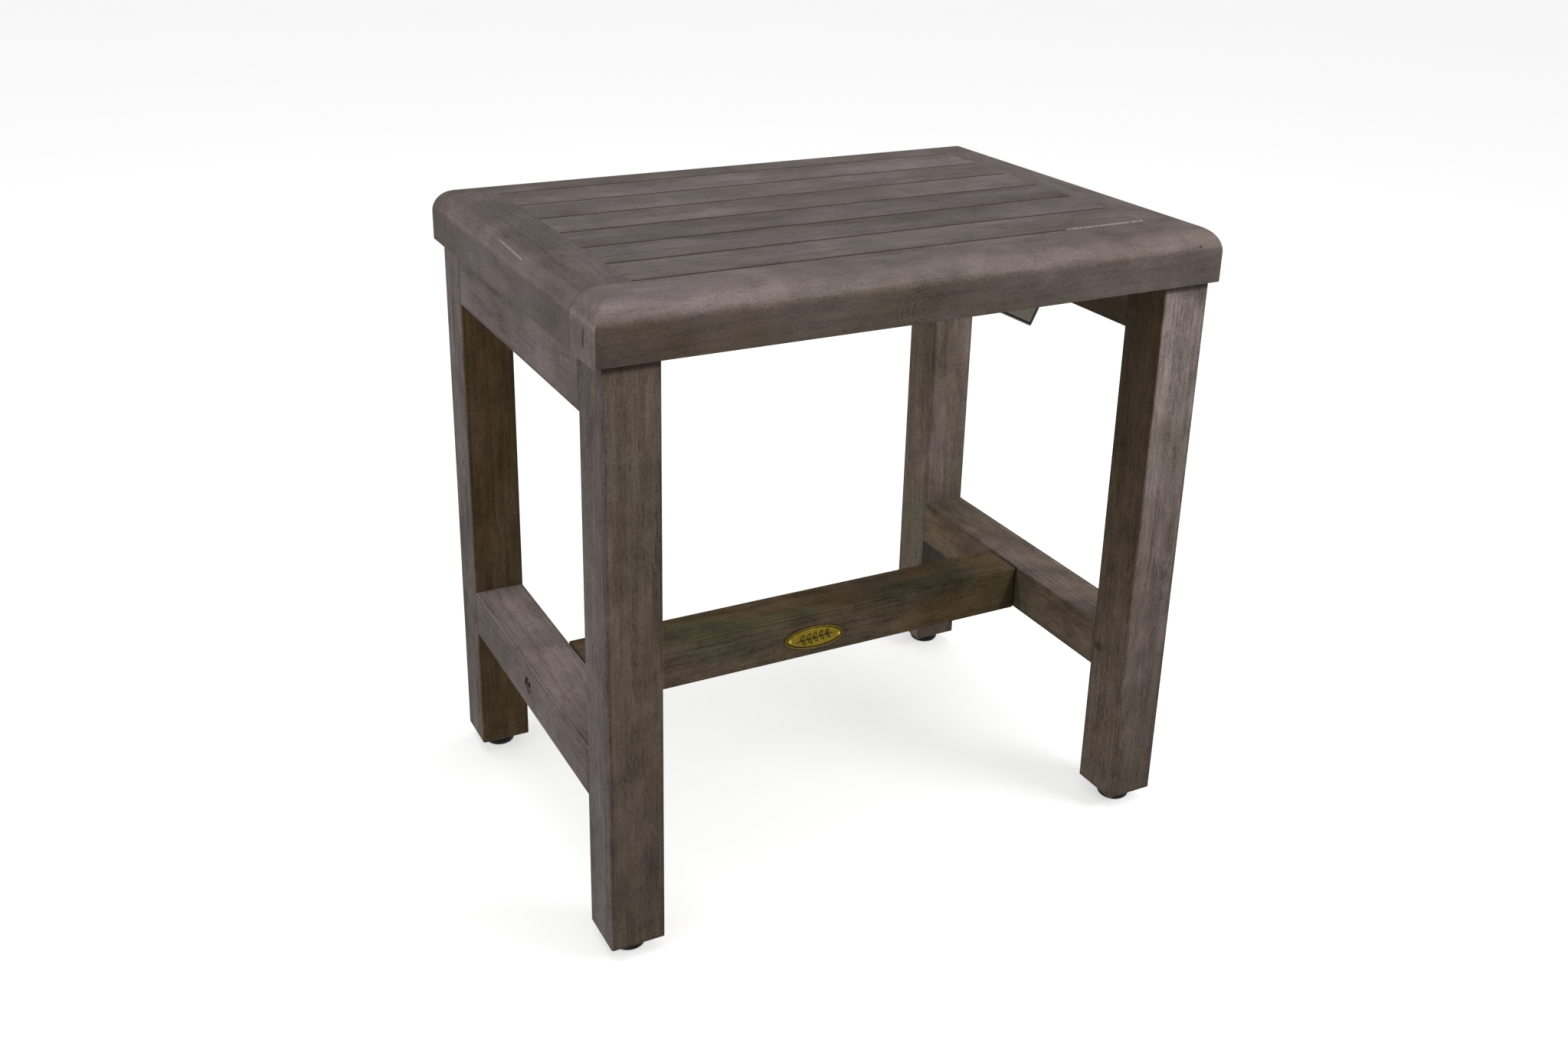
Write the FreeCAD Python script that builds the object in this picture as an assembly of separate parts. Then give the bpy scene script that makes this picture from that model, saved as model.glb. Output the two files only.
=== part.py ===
"""Small slatted shower bench in teak.

Millimetres. +X runs along the front of the seat, +Y from the front to the back
and +Z up. The origin is on the floor, under the middle of the bench.
"""
import FreeCAD, Part
import math
import os
from FreeCAD import Vector

# ---- overall sizes
HEIGHT = 457.0            # floor to the top of the seat
SEAT_LENGTH = 460.0       # along X
SEAT_DEPTH = 325.0        # along Y
FRAME_LENGTH = 447.0      # over the outer faces of the legs, along X
FRAME_DEPTH = 316.0       # over the outer faces of the legs, along Y

# ---- seat
SEAT_THICKNESS = 38.0
EDGE_RADIUS = 17.5        # roundover along the seat's outer top edge
CORNER_RADIUS = 3.0       # easing of the seat's four upright corners
LONG_RAIL_WIDTH = 38.0    # front and back rails
SIDE_RAIL_WIDTH = 40.0    # left and right rails
SLAT_COUNT = 6
SLAT_GAP = 2.0
SLAT_THICKNESS = 16.0
TONGUE_THICKNESS = 8.0
TONGUE_LENGTH = 8.0
RAIL_TENON = (24.0, 20.0, 12.0)     # width, length and thickness
BATTEN_WIDTH = 30.0
BATTEN_THICKNESS = 20.0
BATTEN_TENON = 10.0

# ---- leg frames
LEG = 38.0                # the legs are square
SHADOW_GAP = 1.2          # between the leg tops and the seat
APRON_HEIGHT = 40.0
APRON_THICKNESS = 35.0
STRETCHER_HEIGHT = 36.0
STRETCHER_BOTTOM = 110.0
END_GAP = 0.8             # at each end of the centre stretcher
TENON_LENGTH = 25.0
TENON_THICKNESS = 12.0
TENON_SHOULDER = 4.0      # the tenon is this much lower than its rail, top and bottom
APRON_TENON_DROP = 12.0   # keeps the mortise clear of the leg's top end
PEG_RADIUS = 4.0
PEG_LENGTH = 26.0
PEG_INSET = 8.0           # from the leg's shoulder face to the peg's centre

# ---- edges
ARRIS = 1.4               # easing of long edges
FINE_ARRIS = 0.6          # easing of edges that meet another board

# ---- feet
FOOT_HEIGHT = 11.0        # the part of the foot that shows under the leg
FOOT_RADIUS = 12.0
FOOT_ROUNDING = 3.5       # at the foot's bottom edge
FOOT_CLEARANCE = 0.3      # between a screwed-in foot and its leg
STUD_RADIUS = 4.0         # M8
THREAD_CLEARANCE = 0.05
STUD_LENGTH = 26.0        # in the leg
STUD_END_SPACE = 4.0      # bore above the stud
STUD_BORE_CLEARANCE = 0.5
STUD_HEAD_RADIUS = 7.0
STUD_HEAD_HEIGHT = 3.0
STUD_HEAD_BOTTOM = 3.6
HEAD_CLEARANCE = 0.35
INSERT_RADIUS = 5.5
INSERT_LENGTH = 16.0

# ---- fasteners
BOLT_RADIUS = 3.0         # M6
BOLT_CLEARANCE = 0.3      # between a bolt and its hole
BOLT_END_SPACE = 14.0     # bore past the barrel nut for the bolt's end
BOLT_HEAD_RADIUS = 5.0
BOLT_HEAD_HEIGHT = 5.5
HEX_SOCKET = 4.0          # across the flats
SOCKET_DEPTH = 3.0
WASHER_RADIUS = 6.0
WASHER_THICKNESS = 1.2
COUNTERBORE_RADIUS = 6.5
STRETCHER_COUNTERBORE = 8.0
SEAT_COUNTERBORE = 9.0
STRETCHER_BOLT_LENGTH = 64.0
SEAT_BOLT_LENGTH = 44.0
SEAT_BOLT_Y = 80.0
SEAT_INSERT_RADIUS = 4.5
SEAT_INSERT_LENGTH = 15.0
BARREL_NUT_RADIUS = 5.0
BARREL_NUT_LENGTH = 18.0
BARREL_NUT_INSET = 26.0   # from the end of the centre stretcher
DOWEL_RADIUS = 4.0
DOWEL_LENGTH = 30.0
DOWEL_OFFSET = 12.5       # each side of the bolt
SCREW_RADIUS = 2.0
SCREW_HEAD_RADIUS = 4.0
SCREW_LENGTH = 30.0

# ---- badge
BADGE_LENGTH = 51.0
BADGE_HEIGHT = 18.6
BADGE_THICKNESS = 1.2
BADGE_RIM = 1.3           # width of the raised rim
BADGE_RECESS = 0.35       # depth of the field inside the rim
BADGE_X = -0.7
BADGE_DROP = 2.4          # below the middle of the stretcher
BADGE_TILT = -2.8         # degrees, seen from the front
BADGE_PIN_X = 21.2        # each side of the badge's centre
BADGE_PIN_RADIUS = 1.3

# ---- hang tag
TAG_WIDTH = 42.0
TAG_HEIGHT = 56.0
TAG_THICKNESS = 0.8
TAG_CORNER = 1.5
TAG_HOLE_RADIUS = 2.2
TAG_HOLE_X = 10.0         # from the card's left edge
TAG_HOLE_Z = 5.5          # from the card's top edge
TAG_X = 151.4             # where the string hangs
TAG_Y = -48.0
TAG_SLAT = 2              # the slat above the tag
STAPLE_WIDTH = 11.0
STAPLE_WIRE = 0.5         # radius
STAPLE_DROP = 2.6         # from the slat down to the middle of the crown
STAPLE_LEG = 7.0          # length in the slat
STAPLE_BEND = 0.9         # radius of the wire's bends
STRING_RADIUS = 0.4
STRING_DROP = 16.0        # from the crown to the middle of the tag's hole

# ---- levels and faces that follow
SEAT_BOTTOM = HEIGHT - SEAT_THICKNESS
SLAT_BOTTOM = HEIGHT - SLAT_THICKNESS
LEG_TOP = SEAT_BOTTOM - SHADOW_GAP
APRON_BOTTOM = SEAT_BOTTOM - APRON_HEIGHT
STRETCHER_TOP = STRETCHER_BOTTOM + STRETCHER_HEIGHT
STRETCHER_MIDDLE = STRETCHER_BOTTOM + STRETCHER_HEIGHT / 2
RAIL_INNER_X = SEAT_LENGTH / 2 - SIDE_RAIL_WIDTH
RAIL_INNER_Y = SEAT_DEPTH / 2 - LONG_RAIL_WIDTH
SLAT_PITCH = (2 * RAIL_INNER_Y - SLAT_GAP) / SLAT_COUNT
SLAT_WIDTH = SLAT_PITCH - SLAT_GAP
LEG_X = FRAME_LENGTH / 2 - LEG / 2
LEG_Y = FRAME_DEPTH / 2 - LEG / 2
LEG_INNER_X = FRAME_LENGTH / 2 - LEG
LEG_INNER_Y = FRAME_DEPTH / 2 - LEG
APRON_X = FRAME_LENGTH / 2 - APRON_THICKNESS / 2
X_AXIS = Vector(1, 0, 0)
Y_AXIS = Vector(0, 1, 0)
Z_AXIS = Vector(0, 0, 1)
SIDES = (("left", -1), ("right", 1))
ENDS = (("front", -1), ("back", 1))


# ---- shape helpers

def block(x, y, z):
    """Box from three (low, high) pairs, given in either order."""
    low = Vector(min(x), min(y), min(z))
    return Part.makeBox(abs(x[1] - x[0]), abs(y[1] - y[0]), abs(z[1] - z[0]), low)


def rod(radius, start, direction, length):
    """Round bar from start along direction."""
    return Part.makeCylinder(radius, length, start, direction)


def span(edge):
    """Vector from one end of an edge to the other."""
    return edge.Vertexes[-1].Point - edge.Vertexes[0].Point


def is_straight(edge):
    """True for an edge that runs straight between its two ends."""
    return len(edge.Vertexes) == 2 and abs(edge.Length - span(edge).Length) < 1e-7


def ease(shape, radius, axis=None, where=None):
    """Round the straight edges that run along axis and whose middle passes where."""
    chosen = []
    for edge in shape.Edges:
        if not is_straight(edge):
            continue
        if axis is not None and span(edge).cross(axis).Length > 1e-6:
            continue
        if where is None or where(edge.CenterOfMass):
            chosen.append(edge)
    return shape.makeFillet(radius, chosen) if chosen else shape


def one_solid(shape):
    """The single solid in a shape."""
    return shape.Solids[0] if len(shape.Solids) == 1 else shape


def hex_prism(flats, start, direction, length):
    """Hexagonal bar of the given size across its flats."""
    corner = flats / math.sqrt(3)
    points = [Vector(corner * math.cos(math.radians(60 * k)),
                     corner * math.sin(math.radians(60 * k)), 0) for k in range(7)]
    prism = Part.Face(Part.makePolygon(points)).extrude(Z_AXIS * length)
    turn = FreeCAD.Rotation(Z_AXIS, direction)
    prism.Placement = FreeCAD.Placement(start, turn)
    return prism


# ---- fasteners

def socket_bolt(seat, direction, length):
    """Socket-head bolt. Its head sits on seat and its shank runs along direction."""
    head = rod(BOLT_HEAD_RADIUS, seat, direction * -1, BOLT_HEAD_HEIGHT)
    shank = rod(BOLT_RADIUS, seat, direction, length)
    top = seat - direction * BOLT_HEAD_HEIGHT
    socket = hex_prism(HEX_SOCKET, top, direction, SOCKET_DEPTH)
    bolt = head.fuse(shank).removeSplitter()
    rim = [e for e in bolt.Edges if abs((e.CenterOfMass - top).dot(direction)) < 1e-6]
    bolt = bolt.makeFillet(0.6, rim)
    return one_solid(bolt.cut(socket))


def washer(seat, direction):
    """Plain washer that lies from seat along direction."""
    disc = rod(WASHER_RADIUS, seat, direction, WASHER_THICKNESS)
    return disc.cut(rod(BOLT_RADIUS + BOLT_CLEARANCE, seat, direction, WASHER_THICKNESS))


def wood_screw(seat, direction, length):
    """Countersunk screw with a cross recess. Its head is flush with seat."""
    cone_depth = SCREW_HEAD_RADIUS - SCREW_RADIUS
    cone = Part.makeCone(SCREW_HEAD_RADIUS, SCREW_RADIUS, cone_depth, seat, direction)
    tip_length = 5.0
    shank = rod(SCREW_RADIUS, seat + direction * cone_depth, direction,
                length - cone_depth - tip_length)
    tip = Part.makeCone(SCREW_RADIUS, 0.3, tip_length,
                        seat + direction * (length - tip_length), direction)
    return cone.fuse([shank, tip]).removeSplitter()


def cross_recess(seat, direction, depth=1.6, size=2.4, width=0.8):
    """Two crossed slots, to be cut from a screw's head that faces down."""
    low = seat.z
    high = seat.z + depth * direction.z
    x, y = seat.x, seat.y
    first = block((x - size, x + size), (y - width / 2, y + width / 2), (low, high))
    return first.fuse(block((x - width / 2, x + width / 2), (y - size, y + size), (low, high)))


# ---- seat

def seat_profile(half, place):
    """Upright section of the seat: flat below, with both top corners rounded."""
    k = EDGE_RADIUS * (1 - math.sqrt(0.5))
    flat = half - EDGE_RADIUS
    shoulder = HEIGHT - EDGE_RADIUS
    right_side = Part.LineSegment(place(half, SEAT_BOTTOM), place(half, shoulder))
    right_arc = Part.Arc(place(half, shoulder), place(half - k, HEIGHT - k), place(flat, HEIGHT))
    top = Part.LineSegment(place(flat, HEIGHT), place(-flat, HEIGHT))
    left_arc = Part.Arc(place(-flat, HEIGHT), place(-half + k, HEIGHT - k), place(-half, shoulder))
    left_side = Part.LineSegment(place(-half, shoulder), place(-half, SEAT_BOTTOM))
    bottom = Part.LineSegment(place(-half, SEAT_BOTTOM), place(half, SEAT_BOTTOM))
    edges = [c.toShape() for c in (right_side, right_arc, top, left_arc, left_side, bottom)]
    return Part.Face(Part.Wire(edges))


def seat_envelope():
    """Outer shape of the whole seat, with every outer edge rounded."""
    half_x, half_y = SEAT_LENGTH / 2, SEAT_DEPTH / 2
    along_y = seat_profile(half_x, lambda u, z: Vector(u, -half_y, z))
    along_x = seat_profile(half_y, lambda u, z: Vector(-half_x, u, z))
    body = along_y.extrude(Y_AXIS * SEAT_DEPTH).common(along_x.extrude(X_AXIS * SEAT_LENGTH))

    def on_corner(edge):
        middle = edge.valueAt((edge.FirstParameter + edge.LastParameter) / 2)
        near_x = abs(middle.x) > half_x - EDGE_RADIUS
        near_y = abs(middle.y) > half_y - EDGE_RADIUS
        return near_x and near_y and abs(span(edge).z) > EDGE_RADIUS / 2

    body = one_solid(body.makeFillet(CORNER_RADIUS, [e for e in body.Edges if on_corner(e)]))
    bottom = [e for e in body.Edges if abs(e.CenterOfMass.z - SEAT_BOTTOM) < 1e-6]
    return one_solid(body.makeFillet(FINE_ARRIS, bottom))


def on_top(point):
    return abs(point.z - HEIGHT) < 1e-6


def long_rail(envelope, sign):
    """Front or back rail, the full length of the seat."""
    inner = sign * RAIL_INNER_Y
    cut_to = block((-SEAT_LENGTH, SEAT_LENGTH), (inner, sign * SEAT_DEPTH), (0, 2 * HEIGHT))
    rail = one_solid(envelope.common(cut_to))
    return ease(rail, FINE_ARRIS, X_AXIS, lambda p: on_top(p) and abs(p.y - inner) < 1e-6)


def side_rail(envelope, sign):
    """Left or right rail, between the long rails, with a groove for the slats' tongues."""
    inner = sign * RAIL_INNER_X
    cut_to = block((inner, sign * SEAT_LENGTH), (-RAIL_INNER_Y, RAIL_INNER_Y), (0, 2 * HEIGHT))
    rail = one_solid(envelope.common(cut_to))
    rail = ease(rail, FINE_ARRIS, Y_AXIS, lambda p: on_top(p) and abs(p.x - inner) < 1e-6)
    groove = block((inner, inner + sign * (TONGUE_LENGTH + 0.5)), (-RAIL_INNER_Y, RAIL_INNER_Y),
                   tongue_levels())
    rail = rail.cut(groove)
    return rail.fuse([rail_tenon(sign, end) for _, end in ENDS]).removeSplitter()


def tongue_levels():
    """Lowest and highest level of the slats' tongues."""
    middle = HEIGHT - SLAT_THICKNESS / 2
    return middle - TONGUE_THICKNESS / 2, middle + TONGUE_THICKNESS / 2


def rail_tenon(side, end, spare=0.0):
    """Tenon on a side rail's end; with spare it is the mortise that takes it."""
    width, length, thickness = RAIL_TENON
    x = side * (SEAT_LENGTH - SIDE_RAIL_WIDTH) / 2
    z = SEAT_BOTTOM + SEAT_THICKNESS / 2
    return block((x - width / 2, x + width / 2),
                 (end * RAIL_INNER_Y, end * (RAIL_INNER_Y + length + spare)),
                 (z - thickness / 2, z + thickness / 2))


def slat_centre(number):
    """Middle of a slat across the seat; slat 1 is next to the front rail."""
    return -RAIL_INNER_Y + SLAT_GAP + SLAT_WIDTH / 2 + (number - 1) * SLAT_PITCH


def slat(number):
    """One slat with a tongue at each end."""
    y = slat_centre(number)
    across = (y - SLAT_WIDTH / 2, y + SLAT_WIDTH / 2)
    board = block((-RAIL_INNER_X, RAIL_INNER_X), across, (SLAT_BOTTOM, HEIGHT))
    board = ease(board, FINE_ARRIS, None, on_top)
    tongue_x = RAIL_INNER_X + TONGUE_LENGTH
    tongue = block((-tongue_x, tongue_x), across, tongue_levels())
    return board.fuse(tongue).removeSplitter()


def centre_batten():
    """Bar under the slats, let into the front and back rails."""
    levels = (SLAT_BOTTOM - BATTEN_THICKNESS, SLAT_BOTTOM)
    reach = RAIL_INNER_Y + BATTEN_TENON
    bar = block((-BATTEN_WIDTH / 2, BATTEN_WIDTH / 2), (-RAIL_INNER_Y, RAIL_INNER_Y), levels)
    bar = ease(bar, ARRIS, Y_AXIS, lambda p: abs(p.z - levels[0]) < 1e-6)
    return bar.fuse(batten_tenon(reach)).removeSplitter()


def batten_tenon(reach):
    """Bar through both ends of the batten; it also cuts the rails' mortises."""
    half = BATTEN_WIDTH / 2 - TENON_SHOULDER
    levels = (SLAT_BOTTOM - BATTEN_THICKNESS + TENON_SHOULDER, SLAT_BOTTOM - TENON_SHOULDER)
    return block((-half, half), (-reach, reach), levels)


def seat_nodes():
    """The seat's boards, batten, screws and inserts."""
    envelope = seat_envelope()
    nodes = {}
    mortises = [rail_tenon(side, end, 1.0) for _, side in SIDES for _, end in ENDS]
    mortises.append(batten_tenon(RAIL_INNER_Y + BATTEN_TENON + 0.5))
    for name, sign in ENDS:
        nodes[f"seat_{name}_rail"] = long_rail(envelope, sign).cut(mortises)
    insert_holes = [seat_insert_blank(x, y, 1.0) for x, y in seat_bolt_places()]
    for name, sign in SIDES:
        nodes[f"seat_{name}_rail"] = side_rail(envelope, sign).cut(insert_holes)

    screws, recesses = [], []
    for number in range(1, SLAT_COUNT + 1):
        seat = Vector(0, slat_centre(number), SLAT_BOTTOM - BATTEN_THICKNESS)
        screws.append(wood_screw(seat, Z_AXIS, SCREW_LENGTH))
        recesses.append(cross_recess(seat, Z_AXIS))
        cuts = [screws[-1]]
        if number == TAG_SLAT:
            cuts.append(tag_staple())
        nodes[f"seat_slat_{number}"] = slat(number).cut(cuts)
    nodes["seat_centre_batten"] = centre_batten().cut(screws)
    nodes["batten_screws"] = Part.makeCompound([s.cut(r) for s, r in zip(screws, recesses)])
    return nodes


# ---- what holds the seat on the leg frames

def seat_bolt_places():
    """Where the four seat bolts stand, as (x, y)."""
    return [(side * APRON_X, end * SEAT_BOLT_Y) for _, side in SIDES for _, end in ENDS]


def seat_insert_blank(x, y, spare=0.0):
    """Outside of a threaded insert in the seat; with spare it is the hole that takes it."""
    return rod(SEAT_INSERT_RADIUS, Vector(x, y, SEAT_BOTTOM), Z_AXIS, SEAT_INSERT_LENGTH + spare)


def seat_fastening_nodes():
    """Bolts up through the aprons, with their washers and inserts."""
    bolts, washers, inserts = [], [], []
    for x, y in seat_bolt_places():
        seat = Vector(x, y, APRON_BOTTOM + SEAT_COUNTERBORE)
        washers.append(washer(seat - Z_AXIS * WASHER_THICKNESS, Z_AXIS))
        bolts.append(socket_bolt(seat - Z_AXIS * WASHER_THICKNESS, Z_AXIS, SEAT_BOLT_LENGTH))
        inserts.append(seat_insert_blank(x, y).cut(bolts[-1]))
    return {"seat_bolts": Part.makeCompound(bolts),
            "seat_bolt_washers": Part.makeCompound(washers),
            "seat_inserts": Part.makeCompound(inserts)}


# ---- leg frames

def tenon(side, end, middle, height, spare=0.0):
    """Tenon of an apron or stretcher; with spare it is the leg's mortise."""
    x = side * APRON_X
    return block((x - TENON_THICKNESS / 2, x + TENON_THICKNESS / 2),
                 (end * LEG_INNER_Y, end * (LEG_INNER_Y + TENON_LENGTH + spare)),
                 (middle - height / 2, middle + height / 2))


def apron_tenon_levels():
    """Middle and height of the apron's tenon, lowered to clear the leg's top end."""
    top = SEAT_BOTTOM - TENON_SHOULDER - APRON_TENON_DROP
    bottom = APRON_BOTTOM + TENON_SHOULDER
    return (top + bottom) / 2, top - bottom


def stretcher_tenon_levels():
    return STRETCHER_MIDDLE, STRETCHER_HEIGHT - 2 * TENON_SHOULDER


def peg(side, end, level):
    """Wooden peg from the leg's inner face through a tenon."""
    start = Vector(side * LEG_INNER_X, end * (LEG_INNER_Y + PEG_INSET), level)
    return rod(PEG_RADIUS, start, X_AXIS * side, PEG_LENGTH)


def pegs(side):
    """The four pegs of one leg frame."""
    levels = (apron_tenon_levels()[0], stretcher_tenon_levels()[0])
    return [peg(side, end, level) for _, end in ENDS for level in levels]


def leg(side, end):
    """One leg with its mortises, peg holes and the bore for its foot."""
    x, y = side * LEG_X, end * LEG_Y
    post = block((x - LEG / 2, x + LEG / 2), (y - LEG / 2, y + LEG / 2), (FOOT_HEIGHT, LEG_TOP))
    post = ease(post, ARRIS, Z_AXIS)
    ends = [e for e in post.Edges if abs(e.CenterOfMass.z - FOOT_HEIGHT) < 1e-6
            or abs(e.CenterOfMass.z - LEG_TOP) < 1e-6]
    post = post.makeChamfer(FINE_ARRIS, ends)
    cuts = [tenon(side, end, *apron_tenon_levels(), 1.0),
            tenon(side, end, *stretcher_tenon_levels(), 1.0)]
    foot = Vector(x, y, FOOT_HEIGHT)
    cuts.append(rod(INSERT_RADIUS, foot, Z_AXIS, INSERT_LENGTH))
    cuts.append(rod(STUD_RADIUS + STUD_BORE_CLEARANCE, foot, Z_AXIS, STUD_LENGTH + STUD_END_SPACE))
    return one_solid(post.cut(cuts + pegs(side)))


def apron(side):
    """Rail under the seat between the front and back legs."""
    outer = side * FRAME_LENGTH / 2
    bar = block((outer, outer - side * APRON_THICKNESS), (-LEG_INNER_Y, LEG_INNER_Y),
                (APRON_BOTTOM, SEAT_BOTTOM))
    bar = ease(bar, FINE_ARRIS, Y_AXIS)
    bar = bar.fuse([tenon(side, end, *apron_tenon_levels()) for _, end in ENDS])
    cuts = list(pegs(side))
    for x, y in seat_bolt_places():
        bottom = Vector(x, y, APRON_BOTTOM)
        cuts.append(rod(COUNTERBORE_RADIUS, bottom, Z_AXIS, SEAT_COUNTERBORE))
        cuts.append(rod(BOLT_RADIUS + BOLT_CLEARANCE, bottom, Z_AXIS, APRON_HEIGHT))
    return one_solid(bar.cut(cuts).removeSplitter())


def stretcher_bolt_seat(side):
    """Middle of the face that a stretcher bolt's washer bears on."""
    return Vector(side * (FRAME_LENGTH / 2 - STRETCHER_COUNTERBORE), 0, STRETCHER_MIDDLE)


def side_stretcher(side):
    """Low rail between the front and back legs."""
    x = side * LEG_X
    bar = block((x - LEG / 2, x + LEG / 2), (-LEG_INNER_Y, LEG_INNER_Y),
                (STRETCHER_BOTTOM, STRETCHER_TOP))
    bar = ease(bar, ARRIS, Y_AXIS)
    bar = bar.fuse([tenon(side, end, *stretcher_tenon_levels()) for _, end in ENDS])
    inward = X_AXIS * -side
    outer = Vector(side * FRAME_LENGTH / 2, 0, STRETCHER_MIDDLE)
    cuts = pegs(side) + dowels(side)
    cuts.append(rod(COUNTERBORE_RADIUS, outer, inward, STRETCHER_COUNTERBORE))
    cuts.append(rod(BOLT_RADIUS + BOLT_CLEARANCE, outer, inward, LEG))
    bar = one_solid(bar.cut(cuts).removeSplitter())
    girth = 2 * math.pi * COUNTERBORE_RADIUS
    mouth = [e for e in bar.Edges if abs(e.Length - girth) < 1e-6
             and abs(e.CenterOfMass.x - outer.x) < 1e-6]
    return one_solid(bar.makeChamfer(0.4, mouth))


def leg_frame_nodes():
    """Legs, aprons, side stretchers and the pegs that lock their tenons."""
    nodes = {}
    for side_name, side in SIDES:
        for end_name, end in ENDS:
            nodes[f"leg_{end_name}_{side_name}"] = leg(side, end)
        nodes[f"{side_name}_apron"] = apron(side)
        nodes[f"{side_name}_stretcher"] = side_stretcher(side)
        nodes[f"{side_name}_tenon_pegs"] = Part.makeCompound(pegs(side))
    return nodes


# ---- centre stretcher

def centre_half_length():
    return LEG_INNER_X - END_GAP


def dowels(side):
    """The two dowels beside a stretcher bolt."""
    start_x = side * (LEG_INNER_X - END_GAP / 2 - DOWEL_LENGTH / 2)
    return [rod(DOWEL_RADIUS, Vector(start_x, y, STRETCHER_MIDDLE), X_AXIS * side, DOWEL_LENGTH)
            for y in (-DOWEL_OFFSET, DOWEL_OFFSET)]


def barrel_nut(side, spare=0.0):
    """Cross nut, put in from below; with spare it is the hole that takes it."""
    x = side * (centre_half_length() - BARREL_NUT_INSET)
    bottom = STRETCHER_BOTTOM if spare else STRETCHER_MIDDLE - BARREL_NUT_LENGTH / 2
    top = STRETCHER_MIDDLE + BARREL_NUT_LENGTH / 2
    return rod(BARREL_NUT_RADIUS, Vector(x, 0, bottom), Z_AXIS, top - bottom)


def stretcher_bolt(side):
    """Socket bolt through a side stretcher into the centre one."""
    seat = stretcher_bolt_seat(side) + X_AXIS * side * WASHER_THICKNESS
    return socket_bolt(seat, X_AXIS * -side, STRETCHER_BOLT_LENGTH)


def centre_stretcher():
    """Bar of the H, with bores for its bolts, nuts, dowels and the badge's pins."""
    half = centre_half_length()
    bar = block((-half, half), (-LEG / 2, LEG / 2), (STRETCHER_BOTTOM, STRETCHER_TOP))
    bar = ease(bar, ARRIS, X_AXIS)
    ends = [e for e in bar.Edges if abs(abs(e.CenterOfMass.x) - half) < 1e-6]
    bar = bar.makeChamfer(FINE_ARRIS, ends)
    cuts = list(badge_pins())
    for _, side in SIDES:
        end = Vector(side * half, 0, STRETCHER_MIDDLE)
        cuts += dowels(side)
        cuts.append(barrel_nut(side, spare=1.0))
        cuts.append(rod(BOLT_RADIUS + BOLT_CLEARANCE, end, X_AXIS * -side, BARREL_NUT_INSET + BOLT_END_SPACE))
    return one_solid(bar.cut(cuts))


def centre_stretcher_nodes():
    """Centre stretcher with everything that fixes it."""
    nodes = {"centre_stretcher": centre_stretcher()}
    bolts, washers, nuts, pins = [], [], [], []
    for _, side in SIDES:
        bolts.append(stretcher_bolt(side))
        washers.append(washer(stretcher_bolt_seat(side), X_AXIS * side))
        nuts.append(barrel_nut(side).cut(bolts[-1]))
        pins += dowels(side)
    nodes["stretcher_bolts"] = Part.makeCompound(bolts)
    nodes["stretcher_washers"] = Part.makeCompound(washers)
    nodes["stretcher_barrel_nuts"] = Part.makeCompound(nuts)
    nodes["stretcher_dowels"] = Part.makeCompound(pins)
    return nodes


# ---- badge

def badge_placement():
    """Badge frame: its X along the plate, its Y up and its Z out of the stretcher."""
    stand = FreeCAD.Rotation(X_AXIS, 90)
    tilt = FreeCAD.Rotation(Y_AXIS, -BADGE_TILT)
    place = Vector(BADGE_X, -LEG / 2, STRETCHER_MIDDLE - BADGE_DROP)
    return FreeCAD.Placement(place, tilt.multiply(stand))


def oval(length, height, thickness, lift=0.0):
    """Elliptical disc in the badge frame."""
    ellipse = Part.Ellipse(Vector(0, 0, lift), length / 2, height / 2)
    return Part.Face(Part.Wire(ellipse.toShape())).extrude(Z_AXIS * thickness)


def badge_pins(radius=BADGE_PIN_RADIUS):
    """Two pins with low domed heads, through the plate and into the wood."""
    made = []
    for side in (-1, 1):
        foot = Vector(side * BADGE_PIN_X, 0, -6.0)
        shank = rod(radius * 0.6, foot, Z_AXIS, 6.0 + BADGE_THICKNESS)
        head = rod(radius, Vector(side * BADGE_PIN_X, 0, BADGE_THICKNESS - BADGE_RECESS),
                   Z_AXIS, 0.9)
        rim = [e for e in head.Edges if abs(e.CenterOfMass.z - head.BoundBox.ZMax) < 1e-6]
        pin = head.makeFillet(0.5, rim).fuse(shank).removeSplitter()
        pin.Placement = badge_placement()
        made.append(pin)
    return made


def badge_nodes():
    """Oval plate with a raised rim, and its two pins."""
    inner_length = BADGE_LENGTH - 2 * BADGE_RIM
    inner_height = BADGE_HEIGHT - 2 * BADGE_RIM
    plate = oval(BADGE_LENGTH, BADGE_HEIGHT, BADGE_THICKNESS)
    field = oval(inner_length, inner_height, BADGE_RECESS, BADGE_THICKNESS - BADGE_RECESS)
    plate = plate.cut(field)
    plate.Placement = badge_placement()
    pins = badge_pins()
    return {"badge_plate": one_solid(plate.cut(pins)), "badge_pins": Part.makeCompound(pins)}


# ---- hang tag

def tag_hole():
    """Centre of the hole in the card."""
    crown = SLAT_BOTTOM - STAPLE_DROP
    return Vector(TAG_X, TAG_Y, crown - STRING_DROP)


def tag_lean():
    """Angle that brings the card's middle under its hole, in degrees."""
    return math.degrees(math.atan2(TAG_WIDTH / 2 - TAG_HOLE_X, TAG_HEIGHT / 2 - TAG_HOLE_Z))


def hang_tag():
    """Card with a punched hole near one top corner. It hangs from that hole."""
    hole = tag_hole()
    low = Vector(hole.x - TAG_HOLE_X, hole.y - TAG_THICKNESS / 2,
                 hole.z + TAG_HOLE_Z - TAG_HEIGHT)
    card = Part.makeBox(TAG_WIDTH, TAG_THICKNESS, TAG_HEIGHT, low)
    card = ease(card, TAG_CORNER, Y_AXIS)
    punch = rod(TAG_HOLE_RADIUS, hole - Y_AXIS * TAG_THICKNESS, Y_AXIS, 2 * TAG_THICKNESS)
    card = card.cut(punch)
    card.rotate(hole, Y_AXIS, tag_lean())
    return one_solid(card)


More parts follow.
